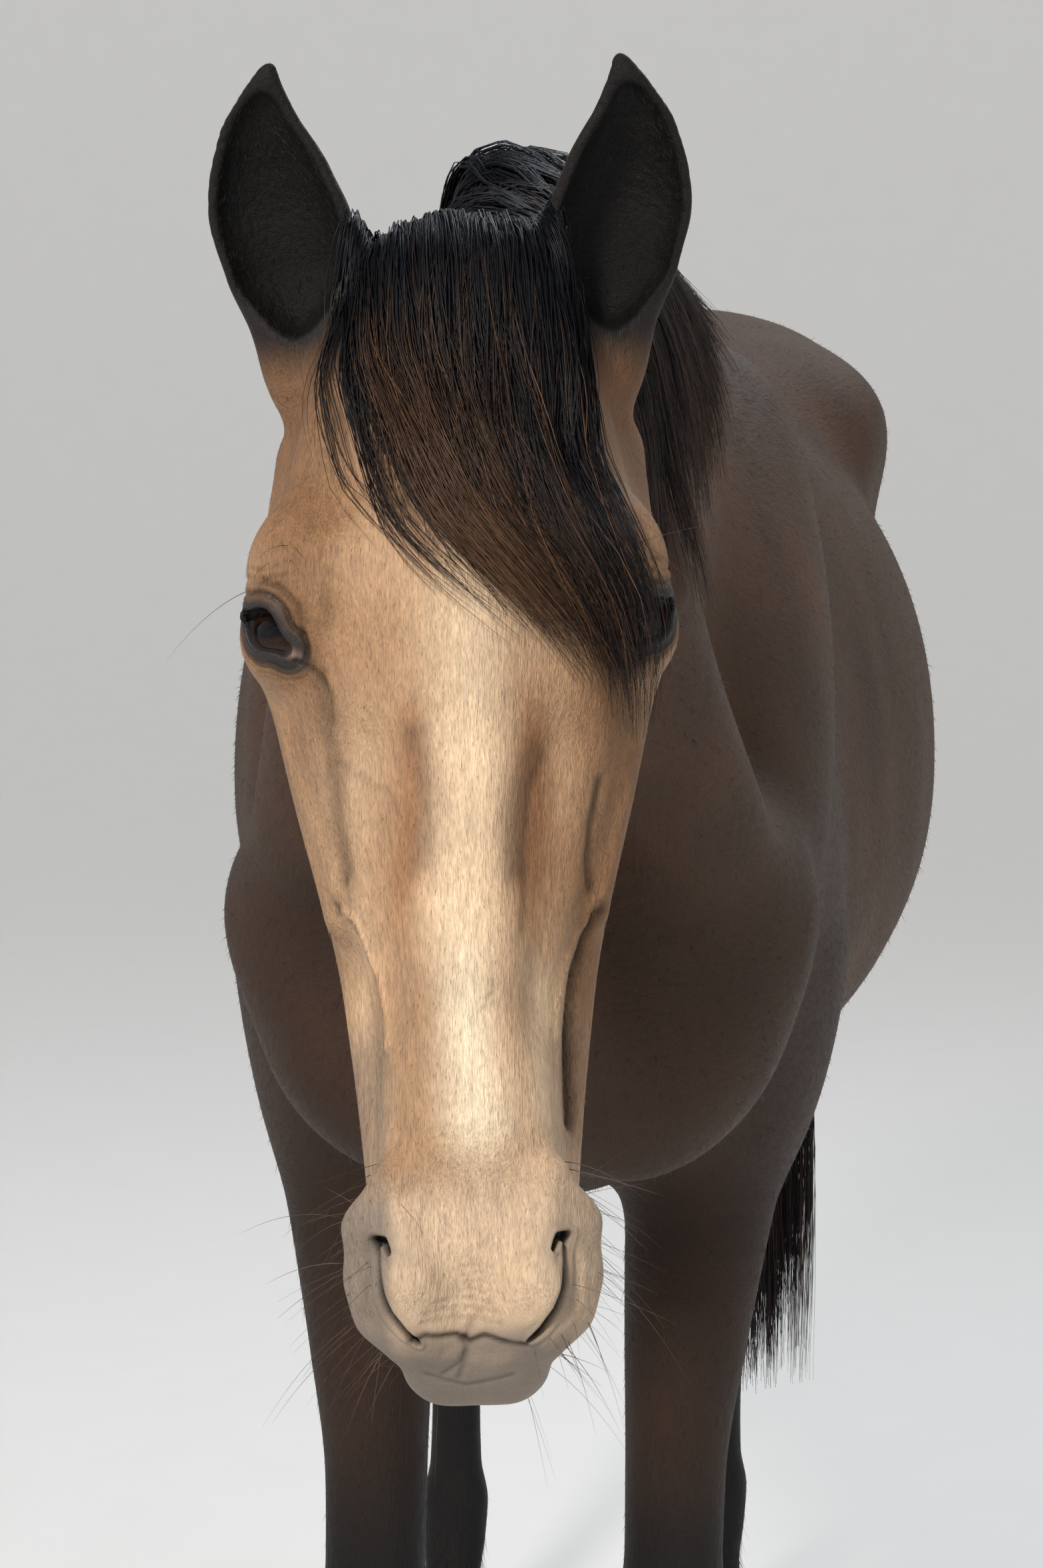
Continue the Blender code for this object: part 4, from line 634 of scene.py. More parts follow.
def head_shapes():
    """Skull, jaw, orbits, cheeks, muzzle and lips, in the head's own frame."""
    skull = [
        # along, lateral, middle, half width, above, below, squareness
        (-0.030, 0, -0.085, 0.030, 0.030, 0.040, 2.0),
        (0.005, 0, -0.070, 0.058, 0.055, 0.070, 2.1),
        (0.040, 0, -0.062, 0.074, 0.062, 0.090, 2.2),
        (0.080, 0, -0.055, 0.084, 0.062, 0.110, 2.4),
        (0.130, 0, -0.050, 0.093, 0.060, 0.125, 2.5),
        (0.180, 0, -0.050, 0.096, 0.058, 0.130, 2.5),
        (0.230, 0, -0.055, 0.090, 0.058, 0.125, 2.4),
        (0.280, 0, -0.060, 0.079, 0.058, 0.105, 2.3),
        (0.330, 0, -0.060, 0.064, 0.056, 0.090, 2.3),
        (0.380, 0, -0.056, 0.051, 0.052, 0.080, 2.3),
        (0.430, 0, -0.054, 0.0455, 0.048, 0.066, 2.3),
        (0.475, 0, -0.055, 0.047, 0.046, 0.052, 2.4),
        (0.515, 0, -0.056, 0.047, 0.042, 0.042, 2.5),
        (0.550, 0, -0.060, 0.043, 0.036, 0.036, 2.6),
        (0.575, 0, -0.068, 0.037, 0.028, 0.026, 2.6),
        (HEAD_LENGTH, 0, -0.075, 0.027, 0.014, 0.014, 2.4),
    ]
    jaw = [
        (0.030, 0, -0.150, 0.035, 0.040, 0.060, 2.0),
        (0.080, 0, -0.165, 0.052, 0.060, 0.088, 2.1),
        (0.140, 0, -0.170, 0.062, 0.070, 0.104, 2.2),
        (0.190, 0, -0.170, 0.064, 0.070, 0.105, 2.2),
        (0.250, 0, -0.160, 0.059, 0.070, 0.096, 2.2),
        (0.310, 0, -0.145, 0.050, 0.065, 0.078, 2.2),
        (0.370, 0, -0.128, 0.042, 0.060, 0.062, 2.2),
        (0.430, 0, -0.118, 0.036, 0.050, 0.045, 2.2),
        (0.475, 0, -0.116, 0.034, 0.040, 0.032, 2.2),
        (0.515, 0, -0.118, 0.035, 0.030, 0.034, 2.2),
        (0.545, 0, -0.112, 0.032, 0.020, 0.028, 2.2),
        (0.566, 0, -0.105, 0.022, 0.012, 0.016, 2.2),
    ]
    nose = [
        (0.130, 0, -0.030, 0.040, 0.040, 0.030, 2.6),
        (0.220, 0, -0.030, 0.034, 0.038, 0.030, 2.8),
        (0.300, 0, -0.030, 0.030, 0.035, 0.030, 3.0),
        (0.400, 0, -0.030, 0.027, 0.031, 0.030, 3.0),
        (0.470, 0, -0.032, 0.027, 0.026, 0.026, 2.8),
    ]

    def bone(start, end, first, last):
        return Bone(start, end, first, last, HEAD)

    def blob(centre, radii, lean=0.0):
        return Blob(centre, radii, lean, HEAD)

    return [
        add(Sweep(skull, HEAD, end_round=0.012), 0.05),
        add(Sweep(jaw, HEAD, end_round=0.02), 0.03),
        add(Sweep(nose, HEAD, end_round=0.02), 0.03),
        add(blob((0.050, -0.165, 0.160), (0.032, 0.095, 0.100)), 0.03),                 # cheek
        add(bone((0.093, -0.055, 0.190), (0.082, -0.105, 0.075), 0.011, 0.015), 0.035),  # cheek arch
        add(blob((0.084, -0.020, 0.168), (0.024, 0.020, 0.032)), 0.03),                 # brow
        add(bone((0.088, -0.068, 0.215), (0.066, -0.066, 0.340), 0.010, 0.005), 0.03),  # facial crest
        add(bone((0.054, -0.090, 0.345), (0.046, -0.078, 0.480), 0.016, 0.007), 0.02),  # cheek side
        carve(blob((0.060, 0.012, 0.112), (0.016, 0.016, 0.026)), 0.03),                # temple hollow
        carve(bone((0.058, -0.006, 0.270), (0.046, -0.010, 0.400), 0.003, 0.003), 0.03),
        add(blob(EYE, (EYE_RADIUS + 0.0052,) * 3), 0.012),                              # lids
        *(carve(half, 0.003) for half in lid_opening()),
        *muzzle_shapes(),
        *ear_shapes(),
    ]


def muzzle_shapes():
    """The wings of the nostrils, the line of the mouth and the chin."""
    wing = [
        (0.040, -0.018, 0.486),
        (0.0515, -0.034, 0.506),
        (0.0510, -0.044, 0.530),
        (0.0455, -0.046, 0.547),
        (0.034, -0.044, 0.560),
    ]
    inner_wing = [(0.034, -0.020, 0.511), (0.031, -0.022, 0.536), (0.024, -0.032, 0.556)]
    shapes = [
        add(Bone(start, end, 0.0095, 0.0095, HEAD), 0.018)
        for path in (wing, inner_wing)
        for start, end in zip(path, path[1:])
    ]
    shapes.append(add(Blob((0.0, -0.140, 0.525), (0.030, 0.020, 0.026), place=HEAD, mirrored=False), 0.02))
    mouth = [(0, -0.094, 0.580), (0.028, -0.094, 0.566), (0.041, -0.096, 0.525), (0.047, -0.096, 0.482)]
    for start, end in zip(mouth, mouth[1:]):
        shapes.append(carve(Bone(start, end, 0.0022, 0.0022, HEAD), 0.005))
    return shapes


def flesh():
    legs = [add(leg_shape(name), 0.05) for name in LEGS]
    return trunk_and_muscles() + legs + neck_and_crest() + head_shapes()


FLESH = flesh()
FLESH_AND_EYES = FLESH + [add(Blob(EYE, (EYE_RADIUS,) * 3, place=HEAD), 0.002)]


def grid_field(axes, shapes):
    """Signed distance to the shapes on a block of cells, each worked out only near itself."""
    value = np.full([len(axis) for axis in axes], 0.2, np.float32)
    for shape, soft, hollow in shapes:
        low, high = shape.bounds()
        part = []
        for axis, least, most in zip(axes, low - 1.5 * soft - 0.05, high + 1.5 * soft + 0.05):
            part.append(slice(*np.searchsorted(axis, (least, most))))
        if any(p.stop <= p.start for p in part):
            continue
        i, j, k = part
        x, y, z = axes[0][i, None, None], axes[1][None, j, None], axes[2][None, None, k]
        there = shape.distance(x, y, z)
        block = value[i, j, k]
        block = smooth_max(block, -there, soft) if hollow else smooth_min(block, there, soft)
        value[i, j, k] = block
    return value


def local_distance_box(shape, soft):
    """The box outside of which a shape can't change the flesh."""
    low, high = shape.bounds()
    return low - 1.5 * soft - 0.03, high + 1.5 * soft + 0.03


def flesh_at(points, shapes):
    """Signed distance to the flesh at many points, each shape worked out only near itself."""
    value = np.full(len(points), 0.2, np.float32)
    for shape, soft, hollow in shapes:
        low, high = local_distance_box(shape, soft)
        near = np.flatnonzero(((points > low) & (points < high)).all(axis=1))
        if not len(near):
            continue
        there = shape.distance(*points[near].T)
        joined = smooth_max(value[near], -there, soft) if hollow else smooth_min(value[near], there, soft)
        value[near] = joined
    return value


def flesh_and_slope(points, shapes, step=0.0006):
    """Distance to the flesh and its slope at many points."""
    here = flesh_at(points, shapes)
    slope = np.stack([flesh_at(points + shift, shapes) - here for shift in np.eye(3) * step], axis=1)
    return here, slope / step


def fitted(points, shapes, level=0.0, rounds=3, most=0.004):
    """Moves points along the slope onto the surface at a distance from the flesh."""
    for _ in range(rounds):
        here, slope = flesh_and_slope(points, shapes)
        size = np.maximum((slope**2).sum(axis=1), 0.05)
        move = np.clip((here - level) / size, -most / 0.7, most / 0.7)
        points = points - slope * move[:, None]
    return points


def surface_mesh(shapes, low, high, cell, level):
    """Points and quads of the flesh's surface inside a box."""
    axes = [np.arange(a, b + cell, cell, dtype=np.float32) for a, b in zip(low, high)]
    value = grid_field(axes, shapes) - level
    for axis in range(3):
        edge = np.moveaxis(value, axis, 0)
        edge[0] = np.maximum(edge[0], cell)
        edge[-1] = np.maximum(edge[-1], cell)
    grid = openvdb.FloatGrid(0.2)
    grid.copyFromArray(value)
    points, quads = grid.convertToQuads(isovalue=0.0)
    return points * cell + np.array(low), quads[:, ::-1]


def in_order(items):
    """Each item once, in the order of the first time; a set of them would change from run to run."""
    return list(dict.fromkeys(items))


def half_mesh(shapes, low, high, cell, plane, keep, gap):
    """A bmesh of the surface on one side of a plane, open at the plane."""
    points, quads = surface_mesh(shapes, low, high, cell, 0.0)
    data = bpy.data.meshes.new("half")
    data.from_pydata(points.tolist(), [], quads.tolist())
    data.validate()
    mesh = bmesh.new()
    mesh.from_mesh(data)
    bpy.data.meshes.remove(data)
    normal = Vector(plane[1]).normalized() * -keep
    point = Vector(plane[0]) - normal * gap
    faces = [face for face in mesh.faces if face.calc_center_median().z > SEAM_FLOOR or keep > 0]
    geometry = in_order(item for face in faces for item in (face, *face.edges, *face.verts))
    bmesh.ops.bisect_plane(mesh, geom=geometry, plane_co=point, plane_no=normal, clear_outer=True, dist=1e-6)
    rim = in_order(vert for edge in mesh.edges if edge.is_boundary for vert in edge.verts)
    near = in_order([*rim, *(edge.other_vert(vert) for vert in rim for edge in vert.link_edges)])
    bmesh.ops.remove_doubles(mesh, verts=near, dist=cell * 0.25)
    keep_largest_shell(mesh)
    loose = [edge for edge in mesh.edges if not edge.link_faces]
    bmesh.ops.delete(mesh, geom=loose, context="EDGES")
    return mesh


def keep_largest_shell(mesh):
    """Drops every separate surface but the one with the most faces."""
    left, found = dict.fromkeys(mesh.faces), []
    while left:
        stack = [left.popitem()[0]]
        shell = []
        while stack:
            face = stack.pop()
            shell.append(face)
            for edge in face.edges:
                for other in edge.link_faces:
                    if other in left:
                        del left[other]
                        stack.append(other)
        found.append(shell)
    found.sort(key=len)
    scraps = [face for shell in found[:-1] for face in shell]
    bmesh.ops.delete(mesh, geom=scraps, context="FACES")


def open_rims(mesh):
    """The open rims of a mesh, each as its points in order."""
    left = dict.fromkeys(edge for edge in mesh.edges if edge.is_boundary)
    rims = []
    while left:
        edge, _ = left.popitem()
        rim = list(edge.verts)
        while True:
            onward = [other for other in rim[-1].link_edges if other in left]
            if not onward:
                break
            del left[onward[0]]
            rim.append(onward[0].other_vert(rim[-1]))
        rims.append(rim[:-1] if rim[0] is rim[-1] else rim)
    return rims


def zipped(mesh, plane):
    """Closes the slit between the two halves of the skin with a strip of triangles."""
    normal = Vector(plane[1]).normalized()
    sideways = Vector((1, 0, 0))
    upward = normal.cross(sideways)
    rims = sorted(open_rims(mesh), key=len)[-2:]
    middle = sum((vert.co for vert in rims[0]), Vector()) / len(rims[0])
    turns = []
    for rim in rims:
        angled = sorted(
            (math.atan2((vert.co - middle).dot(upward), (vert.co - middle).dot(sideways)), i)
            for i, vert in enumerate(rim)
        )
        turns.append([(angle, rim[i]) for angle, i in angled])
    first, second = turns
    i = j = 0
    while i < len(first) or j < len(second):
        a, b = first[i % len(first)][1], second[j % len(second)][1]
        next_a = first[(i + 1) % len(first)][0] + (2 * math.pi if i + 1 >= len(first) else 0)
        next_b = second[(j + 1) % len(second)][0] + (2 * math.pi if j + 1 >= len(second) else 0)
        if j >= len(second) or (i < len(first) and next_a <= next_b):
            corner = first[(i + 1) % len(first)][1]
            i += 1
        else:
            corner = second[(j + 1) % len(second)][1]
            j += 1
        if len({a, b, corner}) == 3 and not mesh.faces.get((a, b, corner)):
            mesh.faces.new((a, b, corner))


def split_where(mesh, wanted):
    """Splits the edges of every face whose middle the function wants finer."""
    mesh.faces.ensure_lookup_table()
    middles = np.array([face.calc_center_median()[:] for face in mesh.faces])
    picked = np.flatnonzero(wanted(middles))
    edges = in_order(edge for i in picked for edge in mesh.faces[i].edges)
    bmesh.ops.subdivide_edges(mesh, edges=edges, cuts=1, use_grid_fill=True)


def in_frame(points, place):
    """Points as (lateral, up, along) in a frame."""
    origin, rows = place
    return (points - origin) @ rows.T


def near_features(points):
    """Where the head needs finer faces: the eyes, nostrils and lips."""
    _, b, t = in_frame(points, HEAD).T
    return (eye_distance(points) < 0.048) | ((t > 0.478) & (b > -0.125))


def near_lids(points):
    """Where the finest faces go: the lids and the edges of the nostrils."""
    return (eye_distance(points) < 0.036) | (nostril_reach(points) < 2.6)


def nostril_reach(points):
    """Distance to the slit of the nearer nostril, in half widths of the slit there."""
    u, b, t = in_frame(points, HEAD).T
    least = np.full(len(points), 9.0)
    near = np.flatnonzero((t > 0.48) & (t < 0.60) & (b > -0.08))
    spots = np.stack([np.abs(u), b, t], axis=1)[near]
    path = np.array(NOSTRIL)
    for start, end, first, last in zip(path, path[1:], NOSTRIL_HALVES, NOSTRIL_HALVES[1:]):
        run = end - start
        share = np.clip((spots - start) @ run / (run @ run), 0, 1)
        away = np.linalg.norm(spots - start - share[:, None] * run, axis=1)
        least[near] = np.minimum(least[near], away / (first + share * (last - first)))
    return least


def skin_level(points):
    """How deep the skin lies in the flesh: at its surface on the thin ears, else just inside."""
    return -SKIN_DEPTH * (1 - smooth_step(-0.015, 0.010, ear_reach(points)))


def view_rays(pixels):
    """Directions from the camera through places in the photo."""
    turn, pitch = CAMERA_TURN, CAMERA_PITCH
    ahead = np.array((-math.sin(turn) * math.cos(pitch), math.cos(turn) * math.cos(pitch), -math.sin(pitch)))
    right = np.array((math.cos(turn), math.sin(turn), 0))
    upright = np.cross(right, ahead)
    scale = CAMERA_SENSOR / CAMERA_LENS / PHOTO_SIZE[1]
    x, y = (np.array(pixels, float) - np.array(PHOTO_SIZE) / 2).T * scale
    return ahead + x[:, None] * right - y[:, None] * upright


def on_flesh(pixels):
    """Points of the face at places in the photo, or the nearest ones at its edges."""
    rays = view_rays(pixels)
    start = np.array(CAMERA_PLACE) + (0, CENTRE_Y, 0)
    reach = np.arange(1.40, 2.12, 0.004)
    points = start + rays[:, None, :] * reach[None, :, None]
    depth = flesh_at(points.reshape(-1, 3), FLESH_AND_EYES).reshape(len(rays), -1)
    inside = depth < 0.0005
    first = np.where(inside.any(axis=1), inside.argmax(axis=1), depth.argmin(axis=1))
    found = points[np.arange(len(rays)), first]
    return fitted(found, FLESH_AND_EYES, 0.0, 3)


def face_lines():
    """The lines of the face, each as its points on the flesh with its width, height and shade."""
    return [(fitted(on_flesh(path), FLESH, -SKIN_DEPTH), *rest) for path, *rest in FACE_LINES]


def line_profiles(points):
    """Each line with how near it is to each point, one on the line."""
    _, b, t = in_frame(points, HEAD).T
    face = np.flatnonzero((t > 0.08) & (t < 0.62) & (b > -0.16))
    for path, half, height, shade in LINES:
        near = np.zeros(len(points))
        spot = points[face]
        low, high = path.min(axis=0) - 3 * half, path.max(axis=0) + 3 * half
        close = ((spot > low) & (spot < high)).all(axis=1)
        least = np.full(close.sum(), 1.0)
        for start, end in zip(path, path[1:]):
            run = end - start
            share = np.clip((spot[close] - start) @ run / (run @ run), 0, 1)
            least = np.minimum(least, np.linalg.norm(spot[close] - start - share[:, None] * run, axis=1))
        near[face[close]] = np.exp(-((least / half) ** 2))
        yield near, height, shade


def skin_object():
    """One closed skin over the trunk, legs, neck, head and ears, finer where the face needs it.

    The places of its points before the lines and folds are pressed in come with it.
    """
    behind = half_mesh(FLESH, (-0.45, -0.62, 0.030), (0.45, 1.80, 1.66), BODY_CELL, SEAM, -1, 0.005)
    mesh = half_mesh(FLESH, (-0.16, -0.86, 0.90), (0.20, -0.05, 1.66), HEAD_CELL, SEAM, 1, 0.0)
    data = bpy.data.meshes.new("Skin")
    behind.to_mesh(data)
    mesh.from_mesh(data)
    zipped(mesh, SEAM)
    split_where(mesh, lambda points: points[:, 2] < 0.78)
    split_where(mesh, near_features)
    split_where(mesh, near_lids)
    bmesh.ops.recalc_face_normals(mesh, faces=mesh.faces)
    mesh.to_mesh(data)
    mesh.free()
    behind.free()
    obj = bpy.data.objects.new("Skin", data)
    points = points_of(data)
    smooth = points = fitted(points, FLESH, skin_level(points))
    rise = sum(height * near for near, height, _ in line_profiles(points)) + lid_relief(points)
    reach = nostril_reach(points)
    rise = rise + 0.0010 * ridge(reach, 2.0, 0.55) - NOSTRIL_DEPTH * smooth_step(1.40, 0.50, reach)
    _, slope = flesh_and_slope(points, FLESH)
    points = points + slope / np.maximum(np.linalg.norm(slope, axis=1), 0.3)[:, None] * rise[:, None]
    data.vertices.foreach_set("co", points.ravel())
    data.polygons.foreach_set("use_smooth", np.ones(len(data.polygons), bool))
    data.update()
    return obj, smooth


def points_of(data):
    points = np.empty(len(data.vertices) * 3)
    data.vertices.foreach_get("co", points)
    return points.reshape(-1, 3)


def along_slope(points, clearance, rounds=2):
    """Pushes points out to at least a clearance from the flesh."""
    shape = points.shape
    points = points.reshape(-1, 3)
    keep = np.broadcast_to(clearance, shape[:-1]).reshape(-1)
    for _ in range(rounds):
        here, slope = flesh_and_slope(points, FLESH_AND_EYES, 0.002)
        size = np.maximum((slope**2).sum(axis=1), 0.1)
        points = points + slope * (np.maximum(keep - here, 0) / size)[:, None]
    return points.reshape(shape)


def outward(points):
    """Unit directions away from the flesh."""
    _, slope = flesh_and_slope(points.reshape(-1, 3), FLESH_AND_EYES, 0.004)
    slope /= np.maximum(np.linalg.norm(slope, axis=1), 1e-6)[:, None]
    return slope.reshape(points.shape)


def draped(roots, starts, lengths, pull, clearance, steps=24):
    """Paths of hair that leave their roots in the start directions and fall along the flesh.

    The pull is added to the direction at each step, and the clearance is how far each path
    keeps from the flesh, from its root to its tip.
    """
    point = np.array(roots, float)
    way = np.array(starts, float)
    way /= np.linalg.norm(way, axis=1)[:, None]
    step = (np.array(lengths, float) / steps)[:, None]
    first, last = (np.broadcast_to(value, len(point)) for value in clearance)
    path, faces = [point.copy()], [outward(point)]
    for i in range(steps):
        keep = first + (last - first) * min(1.0, 3 * (i + 1) / steps)
        way = way + pull * (24 / steps)
        way /= np.linalg.norm(way, axis=1)[:, None]
        moved = along_slope(point + way * step, keep, 1)
        way = moved - point
        way /= np.maximum(np.linalg.norm(way, axis=1), 1e-6)[:, None]
        point = moved
        path.append(point.copy())
        faces.append(outward(point))
    return np.stack(path, axis=1), np.stack(faces, axis=1)


def resampled(path, count):
    """Each path again with this many points, evenly spaced in number."""
    at = np.linspace(0, path.shape[1] - 1, count)
    low = np.minimum(at.astype(int), path.shape[1] - 2)
    share = (at - low)[None, :, None]
    return path[:, low] * (1 - share) + path[:, low + 1] * share


def along_strand(count):
    """Shares of a strand's length at its points, which are closer together near the root."""
    return np.interp(np.linspace(0, 1, count), (0, 0.55, 1), (0, 0.42, 1))


def strands_round(draw, path, out, per_lock, width, gather, wave, count, short=0.35):
    """Strands round each guide path, gathered towards its tip.

    The width is the lock's half width and half depth at its root, gather the share of it
    left at the tip, and wave how far single strands stray.
    """
    path, out = resampled(path, count), resampled(out, count)
    out /= np.linalg.norm(out, axis=2)[:, :, None]
    along = np.gradient(path, axis=1)
    along /= np.maximum(np.linalg.norm(along, axis=2), 1e-9)[:, :, None]
    side = np.cross(along, out)
    side /= np.maximum(np.linalg.norm(side, axis=2), 1e-9)[:, :, None]
    many = len(path) * per_lock
    which = np.repeat(np.arange(len(path)), per_lock)
    share = along_strand(count)
    spread = np.sqrt(draw.random(many)) * np.exp(2j * np.pi * draw.random(many))
    narrowing = 1 - (1 - gather) * share**0.8
    cut = 1 - short * draw.random(many) ** 2
    at = cut[:, None] * share[None, :] * (count - 1)
    low = np.minimum(at.astype(int), count - 2)
    rest = (at - low)[:, :, None]

    def along_guide(values):
        rows = values[which]
        picked = np.take_along_axis(rows, low[:, :, None], axis=1)
        after = np.take_along_axis(rows, low[:, :, None] + 1, axis=1)
        return picked * (1 - rest) + after * rest

    middle, across, up = along_guide(path), along_guide(side), along_guide(out)
    phase = 2 * np.pi * draw.random((many, 2))
    beat = draw.uniform(0.8, 2.2, (many, 2))
    stray = wave * draw.random((many, 2)) * 1.4
    bend = [
        stray[:, k, None] * share * np.sin(beat[:, k, None] * np.pi * share + phase[:, k, None])
        for k in (0, 1)
    ]
    sideways = width[0] * spread.real[:, None] * narrowing + bend[0]
    upward = width[1] * spread.imag[:, None] * narrowing + 0.5 * bend[1]
    points = middle + across * sideways[:, :, None] + up * upward[:, :, None]
    return points, up, which


def strand_pieces(name, points, out, half, tint, look, replaced=()):
    """Joined meshes of flat, tapered three-sided strands, each of few enough faces."""
    count = points.shape[1]
    most = PIECE_TRIANGLES // (6 * (count - 1) + 2)
    number = math.ceil(len(points) / most)
    made = []
    for k, part in enumerate(np.array_split(np.arange(len(points)), number)):
        label = name if number == 1 else f"{name}_{k + 1}"
        obj = strand_object(label, points[part], out[part], half[part], tint[part])
        obj.data.materials.append(look)
        for node in replaced:
            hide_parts(node)
        made.append(placed(obj))
    return made


def strand_object(name, points, out, half, tint):
    many, count, _ = points.shape
    along = np.gradient(points, axis=1)
    along /= np.maximum(np.linalg.norm(along, axis=2), 1e-9)[:, :, None]
    side = np.cross(along, out)
    side /= np.maximum(np.linalg.norm(side, axis=2), 1e-9)[:, :, None]
    up = np.cross(side, along)
    rings = [points + half[:, :, None] * (side * a + up * b) for a, b in STRAND_CORNERS]
    rings = np.stack(rings, axis=2)
    index = np.arange(many * count * 3).reshape(many, count, 3)
    here, after = index[:, :-1], index[:, 1:]
    beside, beyond = np.roll(here, -1, axis=2), np.roll(after, -1, axis=2)
    quads = np.stack([here, beside, beyond, after], axis=-1).reshape(-1, 4)
    ends = np.concatenate([index[:, 0, ::-1], index[:, -1]])
    loops = np.concatenate([quads.ravel(), ends.ravel()])
    starts = np.concatenate([np.arange(len(quads)) * 4, len(quads) * 4 + np.arange(len(ends)) * 3])
    data = mesh_data(name, rings.reshape(-1, 3), loops, starts)
    colours = np.ones((many, count, 3, 4), np.float32)
    colours[..., :3] = tint[:, :, None, :]
    patch = np.zeros((many, count, 3, 2))
    patch[..., 0] = np.arange(3) / 3
    patch[..., 1] = np.linspace(0, 1, count)[None, :, None]
    finish_strands(data, colours, unwrapped(points[:, 0])[:, None, None, :] + PATCH * patch, loops)
    return bpy.data.objects.new(name, data)


def mesh_data(name, points, loops, starts):
    data = bpy.data.meshes.new(name)
    data.vertices.add(len(points))
    data.vertices.foreach_set("co", points.ravel())
    data.loops.add(len(loops))
    data.loops.foreach_set("vertex_index", loops.astype(np.int32))
    data.polygons.add(len(starts))
    data.polygons.foreach_set("loop_start", starts.astype(np.int32))
    data.polygons.foreach_set("use_smooth", np.ones(len(starts), bool))
    return data


def finish_strands(data, colours, places, loops):
    """Stores the colours of the points, and each one's place on the unwrap of the skin."""
    data.color_attributes.new("Tint", "FLOAT_COLOR", "POINT").data.foreach_set("color", colours.ravel())
    layer = data.uv_layers.new(name="OFBake")
    layer.uv.foreach_set("vector", places.reshape(-1, 2)[loops].ravel())
    data.update(calc_edges=True)


def unwrapped(points):
    """Places on an unwrap of the skin: round the body's long axis, and along it."""
    x, y, z = points.T
    axis = 1.15 + 0.25 * smooth_step(0.2, -0.4, y)
    round_about = np.arctan2(x, z - axis) / (2 * np.pi) + 0.5
    along = (y + 0.80) / 2.70
    return np.stack([round_about * 0.99, np.clip(along, 0, 0.99)], axis=1)


def smooth_step(start, end, value):
    share = np.clip((value - start) / (end - start), 0, 1)
    return share * share * (3 - 2 * share)


def mixed(first, second, share):
    """Colours between two, by a share for each point."""
    share = np.asarray(share)[..., None]
    return np.asarray(first) * (1 - share) + np.asarray(second) * share


def placed(obj):
    """Moves a finished piece into the frame's place, and lets it ride on the horse."""
    obj.data.transform(Matrix.Translation((0, -CENTRE_Y, 0)))
    bpy.context.scene.collection.objects.link(obj)
    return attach(obj, "root") or obj


def crest_x(y):
    """The middle line of the neck, which bends a little to the left towards the poll."""
    return np.interp(y, (NECK_TOP.y, NECK_BASE.y), (NECK_TOP.x, NECK_BASE.x))


def crest_height(x, y):
    """Height of the flesh's top over points of the floor."""
    low, high = np.full(len(y), 1.30), np.full(len(y), 1.80)
    for _ in range(18):
        middle = (low + high) / 2
        inside = flesh_at(np.stack([x, y, middle], axis=1), FLESH) < 0
        low, high = np.where(inside, middle, low), np.where(inside, high, middle)
    return low


def mane():
    """The mane, parted at the crest and lying on the left of the neck."""
    draw = np.random.default_rng(MANE_SEED)
    number = MANE_LOCKS
    share = (np.arange(number) + draw.random(number)) / number
    y = MANE_START + (MANE_END - MANE_START) * share
    x = crest_x(y) + draw.uniform(-0.034, 0.006, number)
    roots = np.stack([x, y, crest_height(x, y) - 0.003], axis=1)
    lift = draw.uniform(0, 1, number)
    outward_start = 1.0 + 0.4 * draw.random(number)
    starts = np.stack([outward_start, draw.uniform(-0.25, 0.15, number), 0.12 - 0.30 * lift], axis=1)
    lengths = draw.uniform(0.21, 0.31, number) * (1 - 0.30 * share**2)
    drift = draw.uniform(-0.06, 0.05, number)
    pull = np.stack([np.full(number, 0.02), drift, np.full(number, -0.32)], axis=1)
    layer = draw.random(number)
    flat = 0.35 + 0.65 * smooth_step(0.0, 0.22, share)
    clearance = (0.002 + 0.005 * layer) * flat, (0.005 + 0.012 * layer) * flat
    path, out = draped(roots, starts, lengths, pull, clearance)
    points, up, _ = strands_round(draw, path, out, MANE_HAIRS, (0.011, 0.004), 0.40, 0.006, MANE_POINTS)
    points = along_slope(points, np.linspace(-0.001, 0.002, MANE_POINTS)[None, :])
    tips = along_strand(MANE_POINTS)[None, :]
    brown = smooth_step(0.45, 1.0, tips) * draw.random((len(points), 1)) ** 2 * 0.6
    half = strand_width(draw, points, MANE_HALF_WIDTH)
    return strand_pieces("Mane", points, up, half, hair_tint(draw, brown), LOOKS["hair"])


def strand_width(draw, points, half):
    """Half widths that taper from each root to its tip."""
    share = along_strand(points.shape[1])[None, :]
    return half * draw.uniform(0.7, 1.25, (len(points), 1)) * (1 - 0.85 * share**2)


def hair_tint(draw, brown):
    """Near-black hair with a blue cast as a painted sheen, that turns brown by a share for each point: the
    rust of the tips, and painted light on lit strands.
    """
    shade = draw.uniform(0.6, 1.5, (len(brown), 1, 1))
    return np.clip(mixed(HAIR_BLACK_WITH_BLUE_SHEEN, HAIR_RUST_AND_LIT, brown) * shade, 0, 1)


def on_face(u, t, clearance):
    """World points of the face's own (out, down) places, a clearance above the flesh."""
    origin, rows = HEAD
    flat = np.stack([u.ravel(), np.full(u.size, 0.08), t.ravel()], axis=1)
    points = origin + flat @ rows
    keep = np.broadcast_to(clearance, u.shape).ravel()
    for _ in range(14):
        here = flesh_at(points, FLESH_AND_EYES)
        points = points - rows[1] * np.clip((here - keep) * 0.9, -0.02, 0.05)[:, None]
    return points.reshape(*u.shape, 3)


def face_place(pixels):
    """(out, down) on the face of places in the photo."""
    local = in_frame(on_flesh(pixels), HEAD)
    return local[:, 0], local[:, 2]


